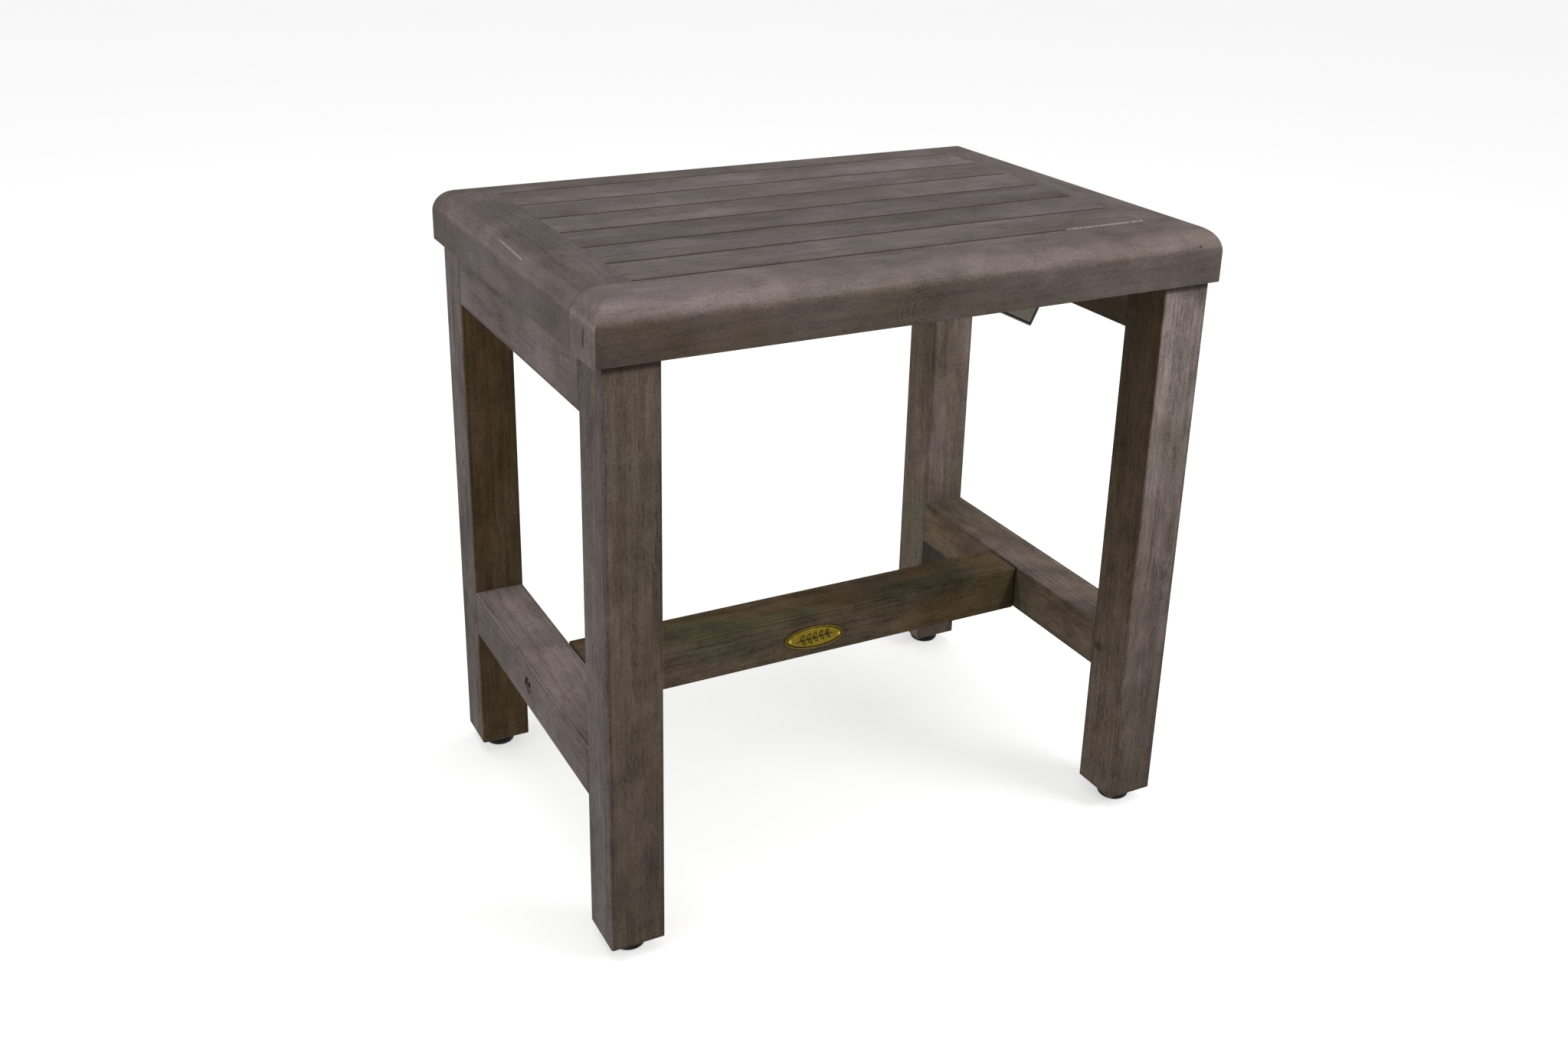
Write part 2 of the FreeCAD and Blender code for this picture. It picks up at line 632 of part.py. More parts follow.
def tag_staple():
    """Wire staple driven into the slat, its crown standing clear for the string."""
    left, right = TAG_X - STAPLE_WIDTH / 2, TAG_X + STAPLE_WIDTH / 2
    low, high = SLAT_BOTTOM - STAPLE_DROP, SLAT_BOTTOM + STAPLE_LEG
    corners = [Vector(left, TAG_Y, high), Vector(left, TAG_Y, low),
               Vector(right, TAG_Y, low), Vector(right, TAG_Y, high)]
    return one_solid(tube(corners, STAPLE_WIRE, STAPLE_BEND)[0])


def tube(points, radius, bend=None):
    """Round tube along straight runs joined by tangent arcs. Returns it with its length."""
    edges, start = [], points[0]
    for before, corner, after in zip(points, points[1:], points[2:]):
        arrive = (corner - before).normalize()
        leave = (after - corner).normalize()
        turn = arrive.getAngle(leave)
        shorter = min((corner - before).Length, (after - corner).Length)
        arc_radius = bend or 0.45 * shorter / math.tan(turn / 2)
        set_back = arc_radius * math.tan(turn / 2)
        first, last = corner - arrive * set_back, corner + leave * set_back
        inward = (leave - arrive).normalize()
        centre = corner + inward * (arc_radius / math.cos(turn / 2))
        middle = centre - inward * arc_radius
        edges.append(Part.LineSegment(start, first).toShape())
        edges.append(Part.Arc(first, middle, last).toShape())
        start = last
        if bend is None:
            print("string bend radius", round(arc_radius, 2))
    edges.append(Part.LineSegment(start, points[-1]).toShape())
    wire = Part.Wire(edges)
    section = Part.Wire(Part.Circle(points[0], points[1] - points[0], radius).toShape())
    return wire.makePipeShell([section], True, True), wire.Length


def string_route():
    """Loop from the staple's crown down through the tag's hole and back up."""
    crown = SLAT_BOTTOM - STAPLE_DROP - STAPLE_WIRE
    hole = tag_hole()
    top = Vector(TAG_X, TAG_Y, crown)
    low = hole.z + TAG_HOLE_RADIUS - STRING_RADIUS - 0.3
    wide, deep = 2.4, 2.0
    return [top + Vector(-1.2, -0.6, -0.2),
            Vector(TAG_X - 1.6, TAG_Y - wide, (crown + hole.z) / 2 + 2.0),
            Vector(TAG_X - 0.8, TAG_Y - deep, low - 0.6),
            Vector(TAG_X + 0.8, TAG_Y + deep, low - 0.6),
            Vector(TAG_X + 1.6, TAG_Y + wide, (crown + hole.z) / 2 + 2.0),
            top + Vector(1.2, 0.6, -0.2)]


def tag_nodes():
    """Card, its string and the staple that holds the string."""
    string, length = tube(string_route(), STRING_RADIUS)
    section = math.pi * STRING_RADIUS ** 2
    print("string length", round(length, 2), "volume over section times length",
          round(string.Volume / section / length, 4))
    return {"hang_tag": hang_tag(), "tag_string": string, "tag_staple": tag_staple()}


# ---- feet

def foot_pad(x, y):
    """Round pad with a hollow that holds the stud's head captive."""
    top = FOOT_HEIGHT - FOOT_CLEARANCE
    pad = rod(FOOT_RADIUS, Vector(x, y, 0), Z_AXIS, top)
    bottom = [e for e in pad.Edges if abs(e.CenterOfMass.z) < 1e-6]
    pad = pad.makeFillet(FOOT_ROUNDING, bottom)
    rim = [e for e in pad.Edges if abs(e.CenterOfMass.z - top) < 1e-6]
    pad = pad.makeFillet(0.5, rim)
    hollow = rod(STUD_HEAD_RADIUS + HEAD_CLEARANCE,
                 Vector(x, y, STUD_HEAD_BOTTOM - HEAD_CLEARANCE), Z_AXIS,
                 STUD_HEAD_HEIGHT + 2 * HEAD_CLEARANCE)
    mouth = rod(STUD_RADIUS + HEAD_CLEARANCE, Vector(x, y, STUD_HEAD_BOTTOM), Z_AXIS, top)
    return one_solid(pad.cut([hollow, mouth]))


def foot_stud(x, y):
    """Threaded stud on a round head."""
    head = rod(STUD_HEAD_RADIUS, Vector(x, y, STUD_HEAD_BOTTOM), Z_AXIS, STUD_HEAD_HEIGHT)
    top = FOOT_HEIGHT + STUD_LENGTH
    shank = rod(STUD_RADIUS - THREAD_CLEARANCE, Vector(x, y, STUD_HEAD_BOTTOM), Z_AXIS,
                top - STUD_HEAD_BOTTOM)
    stud = head.fuse(shank).removeSplitter()
    tip = [e for e in stud.Edges if abs(e.CenterOfMass.z - top) < 1e-6]
    return one_solid(stud.makeChamfer(0.8, tip))


def foot_insert(x, y):
    """Threaded insert in the end of a leg."""
    sleeve = rod(INSERT_RADIUS, Vector(x, y, FOOT_HEIGHT), Z_AXIS, INSERT_LENGTH)
    return sleeve.cut(rod(STUD_RADIUS, Vector(x, y, FOOT_HEIGHT), Z_AXIS, INSERT_LENGTH))


def foot_nodes():
    """Pads, studs and inserts of the four feet."""
    nodes, inserts = {}, []
    for side_name, side in SIDES:
        for end_name, end in ENDS:
            x, y = side * LEG_X, end * LEG_Y
            nodes[f"foot_pad_{end_name}_{side_name}"] = foot_pad(x, y)
            nodes[f"foot_stud_{end_name}_{side_name}"] = foot_stud(x, y)
            inserts.append(foot_insert(x, y))
    nodes["foot_inserts"] = Part.makeCompound(inserts)
    return nodes


# ---- export

def main():
    os.makedirs("parts", exist_ok=True)
    nodes = {}
    for group in (seat_nodes, seat_fastening_nodes, leg_frame_nodes, centre_stretcher_nodes,
                  badge_nodes, tag_nodes, foot_nodes):
        nodes.update(group())
    for name, shape in nodes.items():
        if not shape.isValid():
            raise ValueError(f"{name} is not a valid shape")
        shape.exportStep(f"parts/{name}.step")
    print(len(nodes), "nodes")


main()
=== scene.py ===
"""Looks of the small slatted shower bench: stained teak, brass badge, card tag, feet.

Metres. +X runs along the front of the seat, +Y from front to back and +Z up.
"""
import math
import random
from collections import namedtuple
import bpy
from mathutils import Matrix, Vector


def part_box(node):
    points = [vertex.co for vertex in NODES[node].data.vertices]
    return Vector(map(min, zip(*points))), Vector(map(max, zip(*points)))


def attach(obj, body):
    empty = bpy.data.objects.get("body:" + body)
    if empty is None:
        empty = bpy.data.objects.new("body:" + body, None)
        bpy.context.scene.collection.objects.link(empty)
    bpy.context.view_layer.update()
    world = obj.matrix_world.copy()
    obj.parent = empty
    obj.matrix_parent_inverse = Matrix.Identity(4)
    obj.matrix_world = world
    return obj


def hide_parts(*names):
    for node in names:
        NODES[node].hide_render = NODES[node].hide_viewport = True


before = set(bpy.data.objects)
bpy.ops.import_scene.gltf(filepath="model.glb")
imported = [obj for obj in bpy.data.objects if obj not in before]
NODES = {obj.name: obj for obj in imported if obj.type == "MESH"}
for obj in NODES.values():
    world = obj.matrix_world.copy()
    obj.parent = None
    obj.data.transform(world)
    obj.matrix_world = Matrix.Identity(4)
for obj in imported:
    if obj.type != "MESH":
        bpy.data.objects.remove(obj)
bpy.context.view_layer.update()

MM = 0.001
SIDES = ("left", "right")
ENDS = ("front", "back")
SMALLEST_RADIUS = 0.02 * MM   # of a turned shape's rings, so that its end has an area

# ---- camera
CAMERA_AZIMUTH = -27.05       # degrees, round the bench from its front
CAMERA_ELEVATION = 20.71
CAMERA_ROLL = 1.03
CAMERA_TARGET = Vector((-0.0396, 0.0, 0.3078))
CAMERA_DISTANCE = 1.1549
CAMERA_LENS = 36.59
CAMERA_SHIFT = (0.0144, -0.0699)

# ---- light: each softbox has its place, its size and its power
LIGHTS = {"overhead": ((0.0, -0.2, 2.4), 2.0, 16.4),
          "right_front": ((0.9, -1.0, 0.95), 0.5, 6.1),
          "left_low": ((-2.4, -0.2, 0.5), 1.0, 7.2)}
LIGHT_TARGET = Vector((0.0, 0.0, 0.25))
WORLD_ABOVE = 0.40
WORLD_BELOW = 0.53
FLOOR_GLOW = 0.56

# ---- the tag's string, from the staple's crown through the card and back
STRING_DIAMETER = 0.8 * MM
STRING_ROUTE = [(0.1502, -0.0486, 0.4377), (0.1498, -0.0504, 0.43215), (0.1506, -0.0500, 0.4233),
                (0.1522, -0.0460, 0.4233), (0.1530, -0.0456, 0.43215), (0.1526, -0.0474, 0.4377)]

# ---- badge, tag and feet
BADGE_TILT = 2.8              # degrees, right end down
TAG_SIZE = (42 * MM, 56 * MM)
TAG_HOLE = (10 * MM, 5.5 * MM)          # from the card's left and top edges
TAG_HOLE_PLACE = (0.1514, -0.0480, 0.4224)
THREAD_PITCH = 1.25 * MM


# ---- helpers for pieces

def give(piece, *materials):
    """The piece's only materials."""
    piece.data.materials.clear()
    for material in materials:
        piece.data.materials.append(material)


def link(piece):
    bpy.context.scene.collection.objects.link(piece)


def new_piece(name, points, faces, material, smooth=True):
    """A mesh object from points and faces."""
    mesh = bpy.data.meshes.new(name)
    mesh.from_pydata([tuple(p) for p in points], [], faces)
    mesh.validate()
    for polygon in mesh.polygons:
        polygon.use_smooth = smooth
    piece = bpy.data.objects.new(name, mesh)
    link(piece)
    give(piece, material)
    return piece


def rings(points_of_ring, count, closed_start=True, closed_end=True):
    """Points and faces of a surface through rings. points_of_ring(k) lists ring k's points."""
    points, faces, size = [], [], 0
    for k in range(count):
        ring = points_of_ring(k)
        size = len(ring)
        points += ring
    for k in range(count - 1):
        for i in range(size):
            j = (i + 1) % size
            faces.append((k * size + i, k * size + j, (k + 1) * size + j, (k + 1) * size + i))
    if closed_start:
        faces.append(tuple(reversed(range(size))))
    if closed_end:
        faces.append(tuple(range((count - 1) * size, count * size)))
    return points, faces


def lathe(section, middle, steps):
    """Points and faces of a turned shape. section lists each ring's radius and level."""
    def ring(k):
        radius, level = section[k]
        radius = max(radius, SMALLEST_RADIUS)
        return [Vector((middle.x + radius * math.cos(2 * math.pi * i / steps),
                        middle.y + radius * math.sin(2 * math.pi * i / steps), level))
                for i in range(steps)]

    return rings(ring, len(section))


def round_curve(name, paths, radius, section_steps, steps):
    """Curve with a round section through each path's points."""
    curve = bpy.data.curves.new(name, "CURVE")
    curve.dimensions = "3D"
    curve.bevel_depth = radius
    curve.bevel_resolution = section_steps
    curve.resolution_u = steps
    curve.use_fill_caps = True
    for path in paths:
        spline = curve.splines.new("NURBS")
        spline.points.add(len(path) - 1)
        for point, place in zip(spline.points, path):
            point.co = (*place, 1.0)
        spline.order_u = 3
        spline.use_endpoint_u = True
    return curve


def srgb(red, green, blue):
    """Linear colour with alpha from 0-255 display values."""
    def linear(value):
        value = value / 255
        return value / 12.92 if value <= 0.04045 else ((value + 0.055) / 1.055) ** 2.4
    return (linear(red), linear(green), linear(blue), 1.0)


# ---- helper for node trees

class Tree:
    """Short calls for the shader nodes used here. Each returns an output socket."""

    def __init__(self, tree):
        self.tree = tree

    def put(self, socket, value):
        if isinstance(value, bpy.types.NodeSocket):
            self.tree.links.new(value, socket)
        else:
            socket.default_value = value

    def add(self, kind, inputs=(), **settings):
        node = self.tree.nodes.new(kind)
        for key, value in settings.items():
            setattr(node, key, value)
        for key, value in dict(inputs).items():
            self.put(node.inputs[key], value)
        return node

    def math(self, operation, *values, clamp=False):
        node = self.add("ShaderNodeMath", enumerate(values), operation=operation)
        node.use_clamp = clamp
        return node.outputs[0]

    def vector(self, operation, *values):
        node = self.add("ShaderNodeVectorMath", operation=operation)
        for index, value in enumerate(values):
            self.put(node.inputs[index], value)
        return node.outputs["Value" if operation in ("DOT_PRODUCT", "LENGTH") else "Vector"]

    def split(self, vector):
        return self.add("ShaderNodeSeparateXYZ", {0: vector}).outputs[:]

    def join(self, x, y, z):
        return self.add("ShaderNodeCombineXYZ", {0: x, 1: y, 2: z}).outputs[0]

    def noise(self, vector, scale=1.0, detail=2.0, roughness=0.5, distortion=0.0):
        node = self.add("ShaderNodeTexNoise", {"Vector": vector, "Scale": scale, "Detail": detail,
                                               "Roughness": roughness, "Distortion": distortion})
        return node.outputs[0]

    def fade(self, value, low, high, start=0.0, end=1.0):
        """Smooth step of value from low to high, giving start to end."""
        node = self.add("ShaderNodeMapRange", {"Value": value, "From Min": low, "From Max": high,
                                               "To Min": start, "To Max": end},
                        interpolation_type="SMOOTHSTEP")
        return node.outputs[0]

    def mix(self, factor, first, second, blend="MIX"):
        node = self.add("ShaderNodeMix", {0: factor, 6: first, 7: second},
                        data_type="RGBA", blend_type=blend)
        return node.outputs[2]

    def scaled(self, colour, tone):
        """The colour times a number."""
        grey = self.add("ShaderNodeCombineColor", {0: tone, 1: tone, 2: tone}).outputs[0]
        return self.mix(1.0, colour, grey, "MULTIPLY")

    def choose(self, factor, first, second):
        """Number that goes from first to second as factor goes from 0 to 1."""
        return self.add("ShaderNodeMix", {0: factor, 2: first, 3: second}).outputs[0]

    def near(self, value, middle, reach):
        """1 where value is at middle, falling to 0 at reach from it."""
        gap = self.math("ABSOLUTE", self.math("SUBTRACT", value, middle))
        return self.fade(gap, reach * 0.4, reach, 1.0, 0.0)

    def place(self):
        """Position in the object's own frame, which is the row frame for a CAD node."""
        return self.add("ShaderNodeTexCoord").outputs["Object"]

    def normal(self):
        return self.add("ShaderNodeTexCoord").outputs["Normal"]

    def bump(self, height, strength, distance):
        return self.add("ShaderNodeBump", {"Height": height, "Strength": strength,
                                           "Distance": distance}).outputs[0]


def new_material(name):
    """Material with its tree and its main shader."""
    material = bpy.data.materials.new(name)
    material.use_nodes = True
    tree = Tree(material.node_tree)
    return material, tree, material.node_tree.nodes["Principled BSDF"]


# ---- stained teak

WASH = srgb(125, 114, 114)          # grey-mauve stain where it lies thick
WASH_DEEP = srgb(106, 96, 93)
OLIVE = srgb(105, 98, 90)           # patches where the stain turns green-grey
BROWN = srgb(92, 74, 49)            # where the stain is thin
BROWN_DEEP = srgb(74, 58, 34)
OLIVE_BARE = srgb(76, 70, 46)       # thin patches with a green cast
PORE = srgb(42, 32, 20)
WORN_AND_HIGHLIT = srgb(156, 146, 138)          # rubbed arrises, also a painted highlight on the edges
END_GRAIN = srgb(96, 84, 76)
GAP_SHADE = srgb(74, 60, 48)            # painted shade in the gaps between boards
PALE_MARK = srgb(205, 196, 186)        # pale scuffs, and the pale line in the front groove

RING_SPACING = 5.2 * MM
GRAIN_AXES = {"X": (0, 1, 2), "Y": (1, 2, 0), "Z": (2, 0, 1)}
UP, FRONT, LEFT, RIGHT = (0, 0, 1), (0, -1, 0), (-1, 0, 0), (1, 0, 0)

# How much wash lies on a face, its tone at the low and high ends of the grain, the wash at
# the high end where it differs, and how green its patches are. Set per face and along the
# grain, these are painted light and shade: lit faces brighter and greyer, shaded ones darker,
# browner and greener.
Stain = namedtuple("Stain", "wash low high high_wash green", defaults=(None, 0.4))


def wood_group():
    """Colour, roughness and height of stained teak, from a place whose X is along the grain."""
    group = bpy.data.node_groups.new("stained_teak", "ShaderNodeTree")
    sockets = group.interface
    for name, kind in (("Grain", "Vector"), ("Pith", "Vector"), ("Edge", "Float"), ("End", "Float"),
                       ("Wash", "Float"), ("Tone", "Float"), ("Wear", "Float"),
                       ("Depth", "Float"), ("Grainy", "Float"), ("Green", "Float")):
        sockets.new_socket(name, in_out="INPUT", socket_type=f"NodeSocket{kind}")
    for name, kind in (("Color", "Color"), ("Roughness", "Float"), ("Height", "Float")):
        sockets.new_socket(name, in_out="OUTPUT", socket_type=f"NodeSocket{kind}")
    tree = Tree(group)
    source = group.nodes.new("NodeGroupInput").outputs
    grain = source["Grain"]

    def stretched(along, across, shift=(0.0, 0.0, 0.0)):
        return tree.vector("ADD", tree.vector("MULTIPLY", grain, (along, across, across)), shift)

    # growth rings: distance from a pith line that wanders
    wander = tree.noise(stretched(5.0, 16.0))
    _, across, up = tree.split(tree.vector("SUBTRACT", grain, source["Pith"]))
    radius = tree.math("SQRT", tree.math("ADD", tree.math("MULTIPLY", across, across),
                                         tree.math("MULTIPLY", up, up)))
    radius = tree.math("ADD", radius, tree.math("MULTIPLY", wander, 0.022))
    ring = tree.math("FRACT", tree.math("MULTIPLY", radius, 1 / RING_SPACING))
    late = tree.math("MULTIPLY", tree.fade(ring, 0.45, 0.9), tree.fade(ring, 0.93, 1.0, 1.0, 0.0))

    # fibres, bands, speckles and blotches, each about half a grey on average
    fibre = tree.noise(stretched(24.0, 480.0), detail=3.0, roughness=0.65)
    fine = tree.noise(stretched(110.0, 1500.0), roughness=0.6)
    band = tree.noise(stretched(2.6, 100.0, (1.9, 4.2, 6.6)))
    speckle = tree.noise(stretched(650.0, 1250.0, (8.8, 0.4, 3.3)), detail=3.0, roughness=0.7)
    blotch = tree.noise(stretched(36.0, 55.0, (5.2, 9.1, 0.7)), detail=4.0, roughness=0.6,
                        distortion=0.6)
    figure = tree.noise(stretched(46.0, 20.0))
    cloud = tree.noise(stretched(7.0, 17.0), detail=3.0, roughness=0.55, distortion=0.4)
    patch = tree.noise(stretched(9.0, 15.0, (7.3, 2.1, 5.9)))
    thin = tree.noise(stretched(12.0, 26.0, (3.7, 8.8, 1.4)), detail=4.0, roughness=0.6)

    # pores: long dashes that follow the late wood, and short ticks all over
    dash_field = tree.noise(stretched(150.0, 1900.0), detail=1.0)
    dash_gate = tree.noise(stretched(9.0, 130.0), detail=1.0)
    dash_level = tree.math("ADD", dash_field, tree.math("MULTIPLY", late, 0.05))
    dash_level = tree.math("ADD", dash_level, tree.math("MULTIPLY", dash_gate, 0.35))
    dash = tree.fade(dash_level, 0.78, 0.88)
    tick = tree.fade(tree.noise(stretched(380.0, 2900.0, (2.0, 3.0, 4.0)), detail=1.0), 0.57, 0.70)
    pore = tree.math("MAXIMUM", dash, tree.math("MULTIPLY", tick, 0.65))

    stain = tree.mix(tree.fade(cloud, 0.34, 0.68), WASH_DEEP, WASH)
    green = tree.math("MULTIPLY", tree.fade(patch, 0.46, 0.64), source["Green"])
    stain = tree.mix(green, stain, OLIVE)
    bare = tree.mix(tree.fade(cloud, 0.30, 0.70), BROWN_DEEP, BROWN)
    bare = tree.mix(green, bare, OLIVE_BARE)
    wash = tree.math("ADD", source["Wash"], tree.fade(thin, 0.25, 0.75, -0.12, 0.12), clamp=True)
    colour = tree.mix(wash, bare, stain)

    detail = tree.math("MULTIPLY", late, -0.08)
    grainy = source["Grainy"]
    for field, strength in ((fibre, tree.math("MULTIPLY", grainy, 1.05)), (speckle, 1.15),
                            (fine, tree.math("MULTIPLY", grainy, 0.5)), (blotch, 0.85),
                            (band, tree.math("MULTIPLY", grainy, 0.55)), (figure, 0.35)):
        swing = tree.math("MULTIPLY", tree.math("SUBTRACT", field, 0.5), strength)
        detail = tree.math("ADD", detail, swing)
    detail = tree.math("ADD", 1.0, tree.math("MULTIPLY", detail, source["Depth"]))
    colour = tree.scaled(colour, tree.math("MULTIPLY", source["Tone"], detail))
    pore_share = tree.math("MULTIPLY", pore, tree.math("MULTIPLY", grainy, 0.55))
    colour = tree.mix(pore_share, colour, PORE)
    colour = tree.mix(tree.math("MULTIPLY", source["End"], 0.3), colour, END_GRAIN)

    # painted shade: a dark line beside each arris; the arris itself is pale, partly wear and partly
    # painted highlight. Both are broken up by noise
    chips = tree.noise(stretched(70.0, 260.0), detail=3.0, roughness=0.6)
    beside = tree.near(source["Edge"], 1.5 * MM, 0.9 * MM)
    beside = tree.math("MULTIPLY", beside, tree.fade(chips, 0.35, 0.6, 0.2, 0.6))
    colour = tree.mix(tree.math("MULTIPLY", beside, source["Wear"]), colour, PORE)
    reach = tree.fade(chips, 0.35, 0.75, 0.25 * MM, 0.9 * MM)
    rubbed_and_lit = tree.math("SUBTRACT", 1.0, tree.math("DIVIDE", source["Edge"], reach), clamp=True)
    worn_and_lit = tree.math("MULTIPLY", rubbed_and_lit, source["Wear"])
    colour = tree.mix(worn_and_lit, colour, WORN_AND_HIGHLIT)

    rough = tree.fade(cloud, 0.3, 0.7, 0.58, 0.48)
    rough = tree.math("ADD", rough, tree.math("MULTIPLY", pore, 0.25))
    height = tree.math("MULTIPLY", fibre, 0.35)
    height = tree.math("ADD", height, tree.math("MULTIPLY", fine, 0.25))
    height = tree.math("SUBTRACT", height, tree.math("MULTIPLY", pore, 0.8))
    sink = group.nodes.new("NodeGroupOutput").inputs
    tree.put(sink["Color"], colour)
    tree.put(sink["Roughness"], rough)
    tree.put(sink["Height"], height)
    return group


def edge_distance(tree, place, low, high):
    """Distance from a point on a box to the box's nearest edge."""
    middle, half = (low + high) / 2, (high - low) / 2
    inside = tree.vector("ABSOLUTE", tree.vector("SUBTRACT", place, tuple(middle)))
    dx, dy, dz = tree.split(tree.vector("SUBTRACT", tuple(half), inside))
    nearest = tree.math("MINIMUM", dx, tree.math("MINIMUM", dy, dz))
    farthest = tree.math("MAXIMUM", dx, tree.math("MAXIMUM", dy, dz))
    total = tree.math("ADD", dx, tree.math("ADD", dy, dz))
    return tree.math("SUBTRACT", total, tree.math("ADD", nearest, farthest))


def stain_along(tree, along, stain):
    """A stain's wash and tone where along is 0 at the board's low end and 1 at its high end."""
    high_wash = stain.wash if stain.high_wash is None else stain.high_wash
    return (tree.choose(along, stain.wash, high_wash), tree.choose(along, stain.low, stain.high))


def wood(name, group, board, rng):
    """Material of one board. Each board has its own pith line and its own stretch of grain."""
    material, tree, shader = new_material(f"teak_{name}")
    axes = GRAIN_AXES[board["grain"]]
    place, normal = tree.place(), tree.normal()
    parts, facing = tree.split(place), tree.split(normal)
    start = rng.uniform(-3, 3)
    low, high = board["box"]
    middle = (low + high) / 2
    pith_across = middle[axes[1]] + rng.choice((-1, 1)) * rng.uniform(0.01, 0.05)
    pith_up = middle[axes[2]] + rng.choice((-1, 1)) * rng.uniform(0.03, 0.09)
    grain = tree.join(parts[axes[0]], parts[axes[1]], parts[axes[2]])
    grain = tree.vector("ADD", grain, (start, 0.0, 0.0))

    along = tree.fade(parts[axes[0]], low[axes[0]], high[axes[0]])
    wash, tone = stain_along(tree, along, board["stain"])
    green = board["stain"].green
    # painted light and shade: faces that look along direction get their own wash, tone and green
    for direction, stain in board["faces"].items():
        share = tree.fade(tree.vector("DOT_PRODUCT", normal, direction), 0.2, 0.5)
        face_wash, face_tone = stain_along(tree, along, stain)
        wash = tree.choose(share, wash, face_wash)
        tone = tree.choose(share, tone, face_tone)
        green = tree.choose(share, green, stain.green)
    node = tree.add("ShaderNodeGroup", node_tree=group)
    for key, value in {"Grain": grain, "Pith": (start, pith_across, pith_up),
                       "End": tree.fade(tree.math("ABSOLUTE", facing[axes[0]]), 0.6, 0.9),
                       "Edge": edge_distance(tree, place, low, high), "Wash": wash, "Tone": tone,
                       "Wear": board["wear"], "Depth": board["depth"],
                       "Grainy": board["grainy"], "Green": green}.items():
        tree.put(node.inputs[key], value)
    colour = node.outputs["Color"]
    for mark in board["marks"]:
        colour = mark(tree, parts, facing, colour)
    tree.put(shader.inputs["Base Color"], colour)
    tree.put(shader.inputs["Roughness"], node.outputs["Roughness"])
    tree.put(shader.inputs["Normal"], tree.bump(node.outputs["Height"], 0.35, 0.0004))
    shader.inputs["Specular IOR Level"].default_value = 0.15
    return material


# ---- marks on single boards, in the row frame

SWIRL_PLACE = (-0.0047, 0.4269)     # x and z of the middle of the arched grain
SWIRL_SPACING = 2.8 * MM
GROOVE_LINE_SPAN = (0.126, 0.192)         # x of the pale line in the front groove
GROOVE_LINE_LEVEL = (0.4530, 0.4545)      # z where it fades in
CHECK_Y = -0.0957                   # drying crack in the front rail's left end
CHECK_SPAN = (0.4285, 0.4400)
SMALL_CHECK_Y = -0.1553
SMALL_CHECK_SPAN = (0.4335, 0.4360)
CHECK_DEPTH = (-0.2275, -0.2255)    # x where the cracks end
KNOT_PLACE = (0.2092, -0.1620, 0.4458)
# z where the painted shadow under the seat fades in on the front legs
SEAT_SHADOW_LEVEL = (0.4125, 0.4155)
# z where the painted shade under the back right stretcher fades out
STRETCHER_SHADE_LEVEL = (0.108, 0.112)
END_SHADOW_X = (0.122, 0.125)       # slanting edge of the painted shadow, at floor level
END_SHADOW_SLOPE = 0.42
SCRATCH_X = -0.2254
SCRATCH_SPAN = (-0.032, 0.017)      # its y


def facing_low(tree, facing, axis):
    """1 on the faces that look to the low side of axis: left for 0 and front for 1."""
    return tree.fade(facing[axis], -0.9, -0.6, 1.0, 0.0)


def painted_edge_highlight(tree, parts, facing, colour):
    """Painted highlight on a rounded edge, and painted shade on the upright face below it. It ends
    in a speckled line above the upright face.
    """
    place = tree.join(*parts)
    speckle = tree.math("SUBTRACT", tree.noise(place, 700.0, 3.0, 0.7), 0.5)
    rise = tree.math("ADD", facing[2], tree.math("MULTIPLY", speckle, 0.5))
    # painted light by facing: upright faces darker, the rounded edge brighter, the flat top scaled
    # back
    glow = tree.fade(rise, 0.10, 0.36, 0.84, 1.34)
    top = tree.fade(facing[2], 0.70, 0.99, 1.0, 0.745)
    return tree.scaled(colour, tree.math("MULTIPLY", glow, top))


def gap_shade_across(axis):
    """Painted shade on a board's upright faces that look along axis, inside the gaps of the seat.
    """
    def mark(tree, parts, facing, colour):
        sideways = tree.fade(tree.math("ABSOLUTE", facing[axis]), 0.55, 0.8)
        return tree.mix(tree.math("MULTIPLY", sideways, 0.8), colour, GAP_SHADE)
    return mark


def gap_shade_facing(axis, sign):
    """The same on the faces that look one way only."""
    def mark(tree, parts, facing, colour):
        sideways = tree.fade(tree.math("MULTIPLY", facing[axis], sign), 0.55, 0.8)
        return tree.mix(tree.math("MULTIPLY", sideways, 0.8), colour, GAP_SHADE)
    return mark


def painted_seam_light(tree, parts, facing, colour):
    """Painted light in the shallow seams between the slats and the side rails, brightening them
    against the seams' own shade.
    """
    side = tree.math("ABSOLUTE", parts[0])
    seam = tree.near(side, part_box("seat_right_rail")[0].x, 1.4 * MM)
    seam = tree.math("MULTIPLY", seam, tree.fade(facing[2], 0.1, 0.5))
    return tree.scaled(colour, tree.choose(seam, 1.0, 1.15))


def dark_where(tree, colour, amount, share):
    """The colour with a share of the pores' dark where amount is 1."""
    return tree.mix(tree.math("MULTIPLY", amount, share), colour, PORE)


def stroke(tree, parts, line, axis, width, span):
    """1 in a stroke of the given width along axis, whose middle is line = (axis, place)."""
    start, end = span
    body = tree.near(parts[line[0]], line[1], width)
    first = tree.fade(parts[axis], start - 0.002, start + 0.002)
    last = tree.fade(parts[axis], end - 0.002, end + 0.002, 1.0, 0.0)
    return tree.math("MULTIPLY", body, tree.math("MULTIPLY", first, last))


